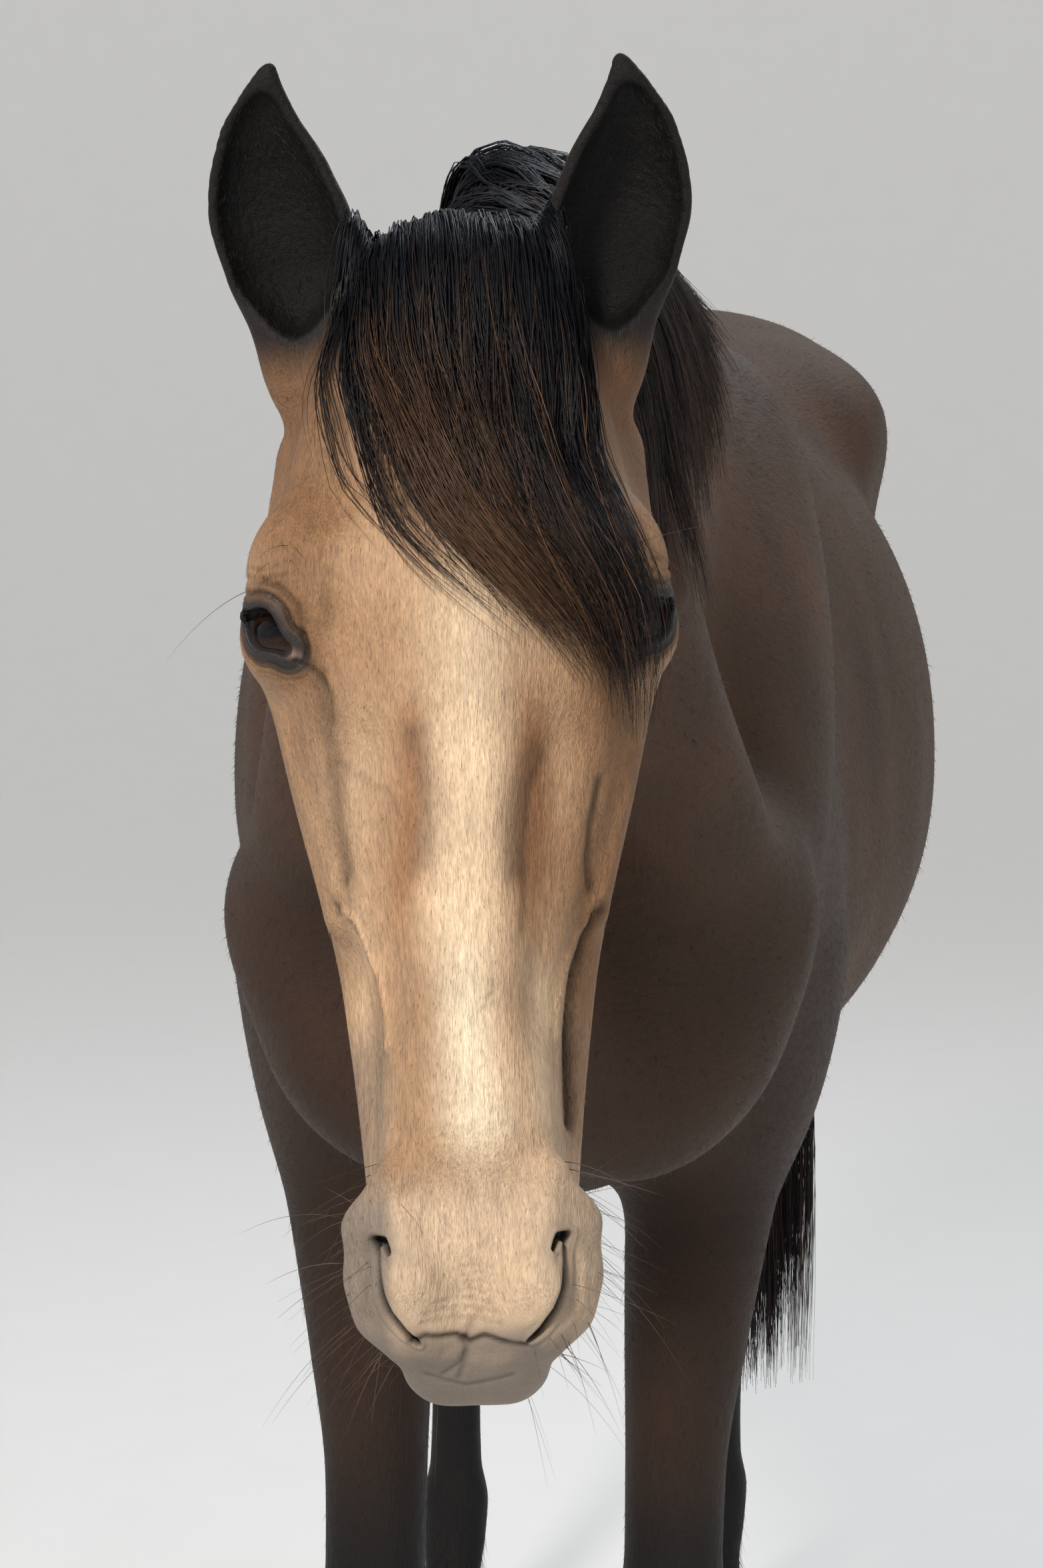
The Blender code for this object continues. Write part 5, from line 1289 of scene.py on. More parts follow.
def forelock():
    """The forelock, swept from the poll across the forehead and over the left eye."""
    draw = np.random.default_rng(FORELOCK_SEED)
    number, steps = FORELOCK_LOCKS, 26
    edges = []
    for pixels in (FORELOCK_LEFT, FORELOCK_RIGHT):
        u, t = face_place(pixels)
        down = np.concatenate([[-0.085], np.maximum.accumulate(t)])
        edges.append((np.concatenate([[u[0] * 0.6], u]), down))
    across = (np.arange(number) + draw.random(number)) / number
    layer = draw.random(number)
    start = draw.uniform(-0.082, -0.066, number)
    end = 0.205 + 0.040 * across + draw.uniform(-0.060, 0.028, number)
    run = np.linspace(0, 1, steps)
    t = start[:, None] + (end - start)[:, None] * run
    strayed = draw.random(number) < 0.16
    loose = np.where(strayed, draw.uniform(-0.55, -0.15, number), draw.uniform(-0.12, 0.12, number))
    place = np.clip(across[:, None] + loose[:, None] * run**1.7, -0.32, 1.08)
    borders = [np.interp(t, down, out) for out, down in edges]
    beat, phase = draw.uniform(0.6, 1.5, (number, 1)), 2 * np.pi * draw.random((number, 1))
    sway = 0.0045 * run**0.7 * np.sin(2 * np.pi * beat * run + phase)
    u = borders[0] + (borders[1] - borders[0]) * place + sway
    dome = (1 - (2 * place - 1) ** 2).clip(0, 1)
    grown = smooth_step(0, 0.30, run)
    rise = np.exp(-(((t - 0.010) / 0.052) ** 2)) * (0.10 + 0.90 * dome)
    clearance = 0.001 + (0.021 + 0.0015 * layer[:, None]) * rise * grown
    clearance = clearance + (0.002 + 0.011 * layer[:, None]) * smooth_step(0.25, 0.65, run)
    path = on_face(u, t, clearance)
    lift = 0.0195 * dome * np.exp(-(((t + 0.020) / 0.055) ** 2)) * grown
    path = path - HEAD[1][2] * lift[:, :, None]
    out = outward(path)
    points, up, which = strands_round(
        draw, path, out, FORELOCK_HAIRS, (0.0075, 0.0016), 0.22, 0.008, FORELOCK_POINTS, 0.45
    )
    points = along_slope(points, np.linspace(-0.001, 0.0015, FORELOCK_POINTS)[None, :])
    tips = along_strand(FORELOCK_POINTS)[None, :]
    # painted light: the outer strands towards the left turn brown as lit ones
    lit = layer[which][:, None] ** 3 * smooth_step(0.9, 0.2, across[which][:, None])
    strays = 0.75 * draw.random((len(points), 1)) ** 6
    brown = smooth_step(0.38, 0.98, tips) * np.clip(0.65 * lit + strays, 0, 1)
    brown = brown + 0.35 * smooth_step(0.75, 1.0, tips) * strays
    half = strand_width(draw, points, FORELOCK_HALF_WIDTH)
    return strand_pieces("Forelock", points, up, half, hair_tint(draw, brown), LOOKS["hair"])


def tuft_pieces(name, roots, ways, out, length, half, tint, slot):
    """Joined meshes of tufts, each a three-sided point of four triangles."""
    most = 49000
    number = max(1, math.ceil(len(roots) / most))
    side = np.cross(ways, out)
    side /= np.maximum(np.linalg.norm(side, axis=1), 1e-9)[:, None]
    up = np.cross(side, ways)
    corners = [roots + half[:, None] * (side * a + up * b) for a, b in STRAND_CORNERS]
    places = np.stack([*corners, roots + ways * length[:, None]], axis=1)
    for k, part in enumerate(np.array_split(np.arange(len(roots)), number)):
        label = name if number == 1 else f"{name}_{k + 1}"
        index = np.arange(len(part) * 4).reshape(-1, 4)
        sides = [index[:, three] for three in ([0, 1, 3], [1, 2, 3], [2, 0, 3], [2, 1, 0])]
        faces = np.stack(sides, axis=1)
        data = mesh_data(label, places[part].reshape(-1, 3), faces.ravel(), np.arange(len(part) * 4) * 3)
        colours = np.ones((len(part), 4, 4), np.float32)
        colours[..., :3] = tint[part][:, None, :]
        patch = np.array([(0, 0), (0.5, 0), (1, 0), (0.5, 1)]) * PATCH
        corner_places = unwrapped(roots[part])[:, None, :] + patch
        finish_strands(data, colours, corner_places, faces.ravel())
        obj = bpy.data.objects.new(label, data)
        data.materials.append(LOOKS["fur"])
        placed(obj)


def skin_spots(skin, draw, density):
    """Even, random spots on the skin by a density for each triangle: places and outward ways."""
    data = skin.data
    data.calc_loop_triangles()
    corners = np.empty(len(data.loop_triangles) * 3, np.int32)
    data.loop_triangles.foreach_get("vertices", corners)
    points = points_of(data) + (0, CENTRE_Y, 0)
    three = points[corners.reshape(-1, 3)]
    normal = np.cross(three[:, 1] - three[:, 0], three[:, 2] - three[:, 0])
    area = np.linalg.norm(normal, axis=1) / 2
    middle = three.mean(axis=1)
    total = np.cumsum(area * density(middle))
    number = int(total[-1])
    which = np.searchsorted(total, (np.arange(number) + draw.random(number)) / number * total[-1])
    first, second = np.sqrt(draw.random(number)), draw.random(number)
    shares = np.stack([1 - first, first * (1 - second), first * second], axis=1)
    spots = (three[which] * shares[:, :, None]).sum(axis=1)
    return spots, normal[which] / np.maximum(2 * area[which], 1e-12)[:, None]


def fur_density(points):
    """Tufts for each square metre."""
    _, _, t = in_frame(points, HEAD).T
    x, y, z = points.T
    head, ears = head_share(points), smooth_step(0.0, 0.03, ear_reach(points))
    level = 9000 + 9000 * smooth_step(0.75, 0.60, z) + 62000 * head
    level = level * (1 - ears) + 100000 * ears
    level = level * (1 - 0.8 * smooth_step(0.50, 0.54, t) * head)
    under_mane = smooth_step(0.055, 0.040, np.abs(x - crest_x(y))) * (z > 1.45) * (y < 0.24)
    return level * (1 - bare_share(points)) * (1 - 0.9 * under_mane * (1 - head)) * (z > 0.075)


def fur_length(draw, points):
    """Short on the face and legs, longer on the body, and longest behind the fetlocks."""
    x, y, z = points.T
    head, reach = head_share(points), ear_reach(points)
    length = 0.014 - 0.0065 * smooth_step(0.80, 0.60, z)
    length = length * (1 - head) + 0.0050 * head
    ears = smooth_step(0.0, 0.03, reach)
    length = length * (1 - ears) + (0.0030 + 0.006 * smooth_step(0.004, -0.002, cup_depth(points))) * ears
    for _, foot_x, foot_y, _ in LEGS.values():
        behind = smooth_step(0.010, 0.035, y - foot_y) * ridge(z, 0.150, 0.035) * (np.abs(x - foot_x) < 0.08)
        length = length + 0.020 * behind
    return length * draw.uniform(0.7, 1.3, len(points))


def coat_tufts(skin):
    """Short tufts over the whole skin, which stand a little off it and break its outline."""
    draw = np.random.default_rng(FUR_SEED)
    spots, out = skin_spots(skin, draw, fur_density)
    ways = lie_of_coat(spots)
    ways = ways - out * (ways * out).sum(axis=1)[:, None]
    ways /= np.maximum(np.linalg.norm(ways, axis=1), 1e-6)[:, None]
    stray = draw.normal(size=spots.shape) * 0.10
    ways = ways + out * draw.uniform(0.06, 0.20, len(spots))[:, None] + stray
    ways /= np.linalg.norm(ways, axis=1)[:, None]
    length = fur_length(draw, spots)
    half = np.clip(length * 0.045, 0.00016, 0.00032) * draw.uniform(0.8, 1.2, len(spots))
    # the tufts are up to 45% lighter than the skin below them: painted light against the shade on their own
    # sides
    tint = np.clip(coat_colours(spots) * draw.uniform(0.95, 1.45, (len(spots), 1)), 0, 1)
    head = (head_share(spots) > 0.5) & (ear_reach(spots) < 0.01)
    dark = (~head) & ((spots[:, 2] < 0.60) | (ear_reach(spots) >= 0.01))
    roots = spots - out * 0.0007
    pieces = (
        ("Fur_face", head, "face_coat"),
        ("Fur_dark", dark, "dark_coat"),
        ("Fur_body", ~head & ~dark, "coat"),
    )
    for name, chosen, slot in pieces:
        values = [value[chosen] for value in (roots, ways, out, length, half, tint)]
        tuft_pieces(name, *values, slot)


def curved_hairs(name, draw, roots, ways, length, half, bend, tint):
    """Single long hairs that curve by a bend towards their tips."""
    share = np.linspace(0, 1, 8)[None, :, None]
    curve = ways[:, None, :] * share + bend[:, None, :] * share**2
    path = roots[:, None, :] + length[:, None, None] * curve
    out = np.cross(ways, draw.normal(size=ways.shape))
    out = np.broadcast_to(out[:, None, :], path.shape)
    width = half * (1 - 0.85 * share[:, :, 0]) * draw.uniform(0.8, 1.2, (len(roots), 1))
    tints = np.broadcast_to(np.asarray(tint), path.shape) * draw.uniform(0.7, 1.4, (len(roots), 1, 1))
    return strand_pieces(name, path, out, width, tints, LOOKS["hair"])


def whiskers():
    """Long single hairs round the nostrils, lips and chin, and a few above the eyes."""
    draw = np.random.default_rng(WHISKER_SEED)
    number = 150
    side = np.where(np.arange(number) % 2 == 0, 1, -1)
    u = draw.uniform(0.020, 0.052, number)
    b = draw.uniform(-0.135, -0.030, number)
    t = draw.uniform(0.470, 0.575, number)
    origin, rows = HEAD
    guess = origin + np.stack([u * side * 1.4, b, t], axis=1) @ rows
    brow = [(0.086, -0.012, 0.165), (0.090, -0.020, 0.170), (0.080, -0.006, 0.168)]
    over = np.array([(place[0] * s, place[1], place[2]) for place in brow for s in (1, -1) for _ in range(2)])
    over = origin + (over + draw.uniform(-0.004, 0.004, over.shape)) @ rows
    roots = fitted(np.concatenate([guess, over]), FLESH, -0.001, 8, 0.02)
    out = outward(roots)
    ways = out + 0.35 * rows[2] + draw.normal(size=out.shape) * 0.22
    ways /= np.linalg.norm(ways, axis=1)[:, None]
    length = draw.uniform(0.018, 0.062, len(roots))
    level = np.zeros(len(roots))
    bend = np.stack([level, level, -draw.uniform(0.05, 0.45, len(roots))], axis=1)
    curved_hairs("Whiskers", draw, roots, ways, length, 0.00021, bend, (0.10, 0.065, 0.045))


def lashes():
    """The lashes of the upper lids, which point out and a little down."""
    draw = np.random.default_rng(LASH_SEED)
    number = 60
    share = np.sort(draw.uniform(0.20, 0.92, number))
    slit = np.array(LID_SLIT)
    ends = np.linspace(0, 1, 3)
    middle = np.stack([np.interp(share, ends, column) for column in slit.T], axis=1)
    radius = np.interp(share, ends, (LID_CORNER_RADIUS, LID_MIDDLE_RADIUS, LID_CORNER_RADIUS)) + 0.0015
    upward = np.array(EYE_FACING.cross(LID_WAY).normalized())
    upward = upward * (-1 if upward[2] > 0 else 1)
    facing, along = np.array(EYE_FACING), np.array(LID_WAY)
    base = middle + upward * radius[:, None] + facing * draw.uniform(-0.001, 0.001, (number, 1))
    way = facing * 0.85 + upward * draw.uniform(0.05, 0.40, (number, 1))
    way = way + along * (draw.uniform(-0.2, 0.2, (number, 1)) - 0.25 * (0.5 - share[:, None]))
    way[:, 0] += 0.25
    origin, rows = HEAD
    roots, ways = [], []
    for mirror in ((1, 1, 1), (-1, 1, 1)):
        roots.append(origin + (base * mirror) @ rows)
        ways.append((way * mirror) @ rows)
    roots, ways = np.concatenate(roots), np.concatenate(ways)
    roots = fitted(roots, FLESH, 0.0, 4, 0.004)
    ways /= np.linalg.norm(ways, axis=1)[:, None]
    length = draw.uniform(0.009, 0.017, len(roots))
    bend = np.tile(np.array((0, 0, -0.55)), (len(roots), 1))
    curved_hairs("Lashes", draw, roots, ways, length, 0.00016, bend, (0.010, 0.008, 0.008))


def tail_station(share):
    """Middle, half width and half depth of the tail, from the dock (0) to the tips (1)."""
    knots = (TAIL[0, 0] - TAIL[:, 0]) / (TAIL[0, 0] - TAIL[-1, 0])
    z, x, y, wide, deep = (smooth_through(knots, column, share) for column in TAIL.T)
    return np.stack([x, y, z], axis=-1), wide, deep


def tail():
    """The tail's hair, rooted down the dock and hanging in a full brush."""
    draw = np.random.default_rng(TAIL_SEED)
    number, steps = TAIL_LOCKS, 26
    angle = 2 * np.pi * (np.arange(number) * 0.618 % 1)
    start = draw.uniform(-0.01, 0.20, number)
    end = draw.uniform(0.84, 1.0, number)
    reach = np.sqrt(draw.uniform(0.10, 1.0, number))
    run = np.linspace(0, 1, steps)
    share = np.clip(start[:, None] + (end - start)[:, None] * run, 0, 1)
    middle, wide, deep = tail_station(share.ravel())
    middle = middle.reshape(number, steps, 3)
    wide, deep = wide.reshape(number, steps), deep.reshape(number, steps)
    turned = angle[:, None] + draw.uniform(-0.5, 0.5, number)[:, None] * run
    side = np.stack([np.cos(turned), np.sin(turned), np.zeros_like(turned)], axis=2)
    spread = reach[:, None] * (0.45 + 0.55 * smooth_step(0, 0.2, run))
    path = middle + side * np.stack([wide, deep, deep], axis=2) * spread[:, :, None]
    points, up, _ = strands_round(
        draw, path, side, TAIL_HAIRS, (0.016, 0.011), 0.55, 0.012, TAIL_POINTS, 0.22
    )
    tips = along_strand(TAIL_POINTS)[None, :]
    brown = smooth_step(0.6, 1.0, tips) * draw.random((len(points), 1)) ** 3 * 0.5
    half = strand_width(draw, points, TAIL_HALF_WIDTH)
    tint = hair_tint(draw, brown)
    return strand_pieces("Tail", points, up, half, tint, LOOKS["hair"], ["tail"])


def wander(points, size):
    """Smooth uneven values, mostly between -1 and 1, with features of about this size."""
    total = np.zeros(len(points))
    for k, wave in enumerate(WAVES):
        total += np.sin(points @ wave * (2.2 / size) + 1.7 * k)
    return total / math.sqrt(len(WAVES))


def head_share(points):
    """How far points belong to the head rather than to the neck and body."""
    _, b, t = in_frame(points, HEAD).T
    return smooth_step(-0.25, -0.14, b) * smooth_step(-0.05, 0.05, t)


def path_distance(points, path):
    """Distance to a path in the head's frame, on both sides of the head."""
    least = np.full(len(points), 1.0)
    for start, end in zip(path, path[1:]):
        least = np.minimum(least, Bone(start, end, 0.0, 0.0, HEAD).distance(*points.T))
    return least


def near_path(points, path, radius):
    """Nearness to a path, one on it and none a few radii away."""
    return np.exp(-((path_distance(points, path) / radius) ** 2))


def lid_gap(points):
    """Distance to the opening between the lids, and how far points are above its middle line."""
    edges = lid_opening()
    gap = np.minimum(*(edge.distance(*points.T) for edge in edges))
    u, b, t = in_frame(points, HEAD).T
    upward = EYE_FACING.cross(LID_WAY)
    if upward.z > 0:
        upward.negate()
    above = (np.stack([np.abs(u), b, t], axis=1) - np.array(LID_SLIT[1])) @ np.array(upward)
    return gap, above


def ridge(value, middle, half):
    return np.exp(-(((value - middle) / half) ** 2))


def lid_relief(points):
    """The rims and folds of the lids: the upper one heavier, with a deep fold over it."""
    gap, above = lid_gap(points)
    top = smooth_step(-0.003, 0.004, above)
    rise = 0.0006 * ridge(gap, 0.0022, 0.0016)
    rise = rise + top * (0.0009 * ridge(gap, 0.0045, 0.0030) - 0.0017 * ridge(gap, 0.0095, 0.0015))
    rise = rise + top * (0.0007 * ridge(gap, 0.0125, 0.0020) - 0.0010 * ridge(gap, 0.0155, 0.0013))
    rise = rise - (1 - top) * (0.0007 * ridge(gap, 0.0070, 0.0013) + 0.0005 * ridge(gap, 0.0110, 0.0012))
    wrinkles = np.sin(gap * (2 * np.pi / 0.0031) + 1.3 * wander(points, 0.012))
    return rise + 0.00028 * wrinkles * ridge(gap, 0.0085, 0.0060)


def eye_distance(points):
    u, b, t = in_frame(points, HEAD).T
    return np.linalg.norm(np.stack([np.abs(u), b, t], axis=1) - np.array(EYE), axis=1)


def cup_depth(points):
    """Distance to the hollow of the nearer ear."""
    hollows = [Sweep(ear_cup(), ear_frame(side), end_round=0.008) for side in (1, -1)]
    return np.minimum(*(hollow.distance(*points.T) for hollow in hollows))


def ear_reach(points):
    """How far up an ear points are, from the foot of the ear, or below zero off the ears."""
    found = np.full(len(points), -1.0)
    for side in (1, -1):
        a, b, s = in_frame(points, ear_frame(side)).T
        on_ear = (np.abs(a) < 0.055) & (b > -0.045) & (b < 0.06) & (s < EAR_LENGTH + 0.02)
        found = np.where(on_ear, np.maximum(found, s), found)
    return found


def coat_colours(points):
    """The coat's colour at points of the flesh, with painted shade and painted highlights in it, the same for
    the skin and for the hair on it.
    """
    x, y, z = points.T
    u, b, t = in_frame(points, HEAD).T
    side = np.abs(u)
    broad, fine = wander(points, 0.30), wander(points, 0.05)

    light = np.clip(0.35 + 0.25 * broad + 0.08 * fine, 0, 1)
    colour = mixed(np.broadcast_to(BAY, points.shape), BAY_LIGHT, light)
    back_line = smooth_step(0.060, 0.010, np.abs(x) + 0.006 * fine) * smooth_step(1.38, 1.46, z)
    colour = mixed(colour, BAY_DARK, 0.55 * back_line)
    # painted shade: darker under the belly and down the upper legs, and darker still on the front of the
    # chest in the head's shadow
    colour = mixed(colour, BAY_DARK, 0.60 * smooth_step(1.05, 0.80, z + 0.02 * broad))
    colour = mixed(colour, BAY_DARK, 0.70 * smooth_step(1.34, 1.02, z) * smooth_step(0.55, 0.25, y))
    colour = mixed(colour, BLACK, smooth_step(0.70, 0.52, z + 0.035 * broad + 0.010 * fine))
    dock = smooth_step(1.580, 1.612, y + 0.006 * fine) * smooth_step(0.075, 0.050, np.abs(x - 0.02))
    colour = mixed(colour, BLACK, dock)
    crest = np.abs(x - crest_x(y)) + 0.004 * fine
    mane_root = smooth_step(0.050, 0.030, crest) * smooth_step(1.44, 1.50, z) * smooth_step(0.30, 0.22, y)
    colour = mixed(colour, BLACK, mane_root)

    face = mixed(np.broadcast_to(TAN, points.shape), TAN_BRIGHT, np.clip(0.20 + 0.16 * fine, 0, 1))
    # painted shade: the sides and cheeks of the face and the temple hollows turn brown where they face away
    # from the light
    face = mixed(face, FACE_SHADE_BROWN, 0.75 * smooth_step(-0.050, -0.120, b + 0.006 * fine))
    face = mixed(face, FACE_SHADE_BROWN, 0.40 * smooth_step(0.055, 0.080, side) * smooth_step(0.36, 0.22, t))
    temple = smooth_step(0.160, 0.080, t) * smooth_step(0.034, 0.062, side)
    face = mixed(face, FACE_SHADE_BROWN, 0.75 * temple)
    # painted highlight: the sheen of the coat down the nasal bar, as a pale band that turns whitish lower
    # down
    bar_middle = np.interp(t, (0.30, 0.35, 0.41, 0.46), (0.006, 0.000, 0.000, 0.004))
    bar_half = np.interp(t, (0.20, 0.30, 0.35, 0.405, 0.455), (0.025, 0.021, 0.019, 0.0145, 0.018))
    across = np.abs(u - bar_middle)
    bridge_highlight = np.exp(-((across / bar_half) ** 2)) * smooth_step(0.13, 0.21, t) * smooth_step(0.505, 0.455, t)
    face = mixed(face, TAN_BRIGHT, 0.85 * bridge_highlight)
    face = mixed(face, NOSE_BAR_HIGHLIGHT, 0.80 * bridge_highlight**1.5 * smooth_step(0.34, 0.41, t))
    # painted shade in the hollows beside the nasal bar
    hollow = ridge(across, 0.031, 0.0095) * smooth_step(0.22, 0.27, t) * smooth_step(0.40, 0.33, t)
    face = mixed(face, HOLLOW_SHADE_BROWN, 0.72 * hollow)
    # painted shade down the outer sides of the face
    outer = smooth_step(0.050, 0.062, side) * smooth_step(0.20, 0.25, t) * smooth_step(0.42, 0.34, t)
    face = mixed(face, FACE_SHADE_BROWN, 0.40 * outer)
    lit_side = ridge(u, 0.037, 0.008) * smooth_step(0.365, 0.395, t) * smooth_step(0.475, 0.45, t)
    face = mixed(face, TAN_BRIGHT, 0.60 * lit_side)
    # grey skin on the strip down the lower sides of the face and on the nostrils' wings, much darker on the
    # horse's right as painted shade on that side
    strip = smooth_step(0.037, 0.045, side) * smooth_step(0.385, 0.42, t) * (1 - 0.6 * (u > 0))
    face = mixed(face, STRIP_GREY_AND_SHADE, 0.60 * strip)
    face = mixed(face, MUZZLE_GREY, smooth_step(0.460, 0.505, t + 0.008 * fine) * (1 - 0.5 * strip))
    wing = (0.80 - 0.45 * (u > 0)) * smooth_step(0.034, 0.045, side) * smooth_step(0.480, 0.505, t)
    face = mixed(face, MUZZLE_WING_GREY_AND_SHADE, wing)
    face = mixed(face, LIP_GREY, 0.85 * smooth_step(0.553, 0.572, t + 0.003 * fine))
    # painted shade under the muzzle and chin
    face = mixed(face, LIP_GREY, 0.75 * smooth_step(-0.080, -0.100, b) * smooth_step(0.44, 0.50, t))
    gap, above = lid_gap(points)
    lids = gap + 0.0014 * fine + 0.004 * smooth_step(0.0, 0.012, above)
    # painted shade round the lids
    face = mixed(face, FACE_SHADE_BROWN, 0.70 * smooth_step(0.026, 0.010, lids))
    face = mixed(face, EYE_SKIN, smooth_step(0.0165, 0.0065, lids))
    top = smooth_step(-0.003, 0.004, above)
    # painted shade in the folds over the upper lid and under the lower one
    lid_fold_shade = 0.75 * ridge(gap, 0.0095, 0.0016) * top + 0.5 * ridge(gap, 0.0080, 0.0014) * (1 - top)
    face = mixed(face, BLACK, lid_fold_shade)
    face = mixed(face, TEAR_SPOT, 0.8 * near_path(points, TEAR_DUCT, 0.0030))
    face = mixed(face, LIP_GREY, 0.45 * near_path(points, NOSTRIL, 0.008))
    # painted shade inside the nostrils
    face = mixed(face, BLACK, smooth_step(1.30, 0.85, nostril_reach(points)))
    # painted shade in the line of the mouth
    face = mixed(face, EYE_SKIN, 0.8 * near_path(points, MOUTH, 0.005))
    forelock_root = smooth_step(0.050, 0.034, side + 0.004 * fine) * smooth_step(0.040, 0.010, t)
    forelock_root = forelock_root * smooth_step(-0.12, -0.06, b)
    face = mixed(face, BLACK, forelock_root)
    colour = mixed(colour, face, head_share(points))

    reach = ear_reach(points)
    cup = cup_depth(points)
    colour = mixed(colour, EAR_BACK, smooth_step(-0.01, 0.03, reach))
    rim = smooth_step(0.0062, 0.0040, cup) * smooth_step(0.0, 0.03, reach)
    colour = mixed(colour, BLACK, 0.9 * rim)
    # dark hair inside the ear's cup, near-black with painted shade in the hollow
    colour = mixed(colour, EAR_INSIDE_WITH_SHADE, smooth_step(0.0032, 0.0012, cup) * smooth_step(-0.02, 0.0, reach))
    colour = mixed(colour, BLACK, 0.8 * smooth_step(0.135, 0.160, reach))
    # painted shade along the creases and grooves of the face and painted highlight along its veins and
    # ridges, over a small random tone
    shade = 1 + 0.06 * fine
    for near, _, tone in line_profiles(points):
        shade = shade * (1 + tone * near)
    return colour * shade[:, None]


def bare_share(points):
    """Where the coat thins to bare skin: eyelids, nostrils and lips."""
    _, b, t = in_frame(points, HEAD).T
    lids = smooth_step(0.014, 0.008, lid_gap(points)[0])
    lips = smooth_step(0.545, 0.565, t) * (b > -0.3)
    return np.clip(lids + lips + near_path(points, NOSTRIL, 0.009), 0, 1)


def grain(points):
    """Places in a space whose second axis runs along the lie of the coat."""
    body_rows = np.array([(1, 0, 0), (0, 0.94, -0.34), (0, 0.34, 0.94)])
    head_rows = HEAD[1][[0, 2, 1]]
    leg_rows = np.array([(1, 0, 0), (0, 0, -1), (0, 1, 0)])
    throat, elbow = np.array((0.02, -0.40, 1.35)), np.array((0, 0.60, 0.78))
    places = (points - throat) @ body_rows.T
    share = head_share(points)[:, None]
    places = places * (1 - share) + ((points - throat) @ head_rows.T) * share
    share = smooth_step(0.88, 0.72, points[:, 2])[:, None]
    low = (points - elbow) @ leg_rows.T + (elbow - throat) @ body_rows.T
    return places * (1 - share) + low * share


def lie_of_coat(points):
    """The direction in which the coat lies at each point."""
    rows = HEAD[1]
    u, _, _ = in_frame(points, HEAD).T
    body = np.broadcast_to(np.array((0, 0.90, -0.44)), points.shape)
    outward_face = np.clip(u / 0.08, -1, 1)[:, None] * rows[0] * 0.35
    head = rows[2] * 0.95 + outward_face - rows[1] * 0.25
    share = head_share(points)[:, None]
    way = body * (1 - share) + head * share
    share = smooth_step(0.92, 0.76, points[:, 2])[:, None]
    way = way * (1 - share) + np.array((0, 0.12, -1.0)) * share
    reach = ear_reach(points)
    for side in (1, -1):
        on_ear = (smooth_step(-0.01, 0.02, reach) * (u * side > 0))[:, None]
        way = way * (1 - on_ear) + ear_frame(side)[1][2] * on_ear
    return way / np.linalg.norm(way, axis=1)[:, None]


class Nodes:
    """A material's nodes, added one after the other."""

    def __init__(self, name):
        self.material = bpy.data.materials.new(name)
        self.material.use_nodes = True
        self.tree = self.material.node_tree
        self.shader = self.tree.nodes["Principled BSDF"]

    def add(self, kind, settings=None, **inputs):
        node = self.tree.nodes.new("ShaderNode" + kind)
        for key, value in (settings or {}).items():
            setattr(node, key, value)
        for key, value in inputs.items():
            self.feed(node.inputs[key.replace("_", " ")], value)
        return node

    def feed(self, socket, value):
        if isinstance(value, bpy.types.NodeSocket):
            self.tree.links.new(value, socket)
        else:
            socket.default_value = value

    def attribute(self, name):
        return self.add("Attribute", {"attribute_name": name})

    def stretched(self, source, scale):
        return self.add("Mapping", None, Vector=source, Scale=scale).outputs["Vector"]

    def noise(self, vector, scale, detail=3.0, roughness=0.6):
        node = self.add("TexNoise", None, Vector=vector, Scale=scale, Detail=detail, Roughness=roughness)
        return node.outputs["Fac"]

    def ranged(self, value, low, high, start=0.3, end=0.7):
        node = self.add("MapRange", None, Value=value)
        for key, number in (("From Min", start), ("From Max", end), ("To Min", low), ("To Max", high)):
            node.inputs[key].default_value = number
        return node.outputs["Result"]

    def math(self, operation, first, second):
        node = self.add("Math", {"operation": operation})
        self.feed(node.inputs[0], first)
        self.feed(node.inputs[1], second)
        return node.outputs["Value"]

    def scaled_colour(self, colour, value):
        node = self.add("VectorMath", {"operation": "SCALE"})
        self.feed(node.inputs[0], colour)
        self.feed(node.inputs["Scale"], value)
        return node.outputs["Vector"]

    def blended(self, first, second, share):
        node = self.add("Mix", {"data_type": "RGBA"})
        self.feed(node.inputs["Factor"], share)
        self.feed(node.inputs[6], first)
        self.feed(node.inputs[7], second)
        return node.outputs[2]

    def bump(self, height, distance, under=None, strength=1.0):
        node = self.add("Bump", None, Height=height, Distance=distance, Strength=strength)
        if under is not None:
            self.feed(node.inputs["Normal"], under)
        return node.outputs["Normal"]

    def shade(self, **inputs):
        for key, value in inputs.items():
            self.feed(self.shader.inputs[key.replace("_", " ")], value)
        return self.material


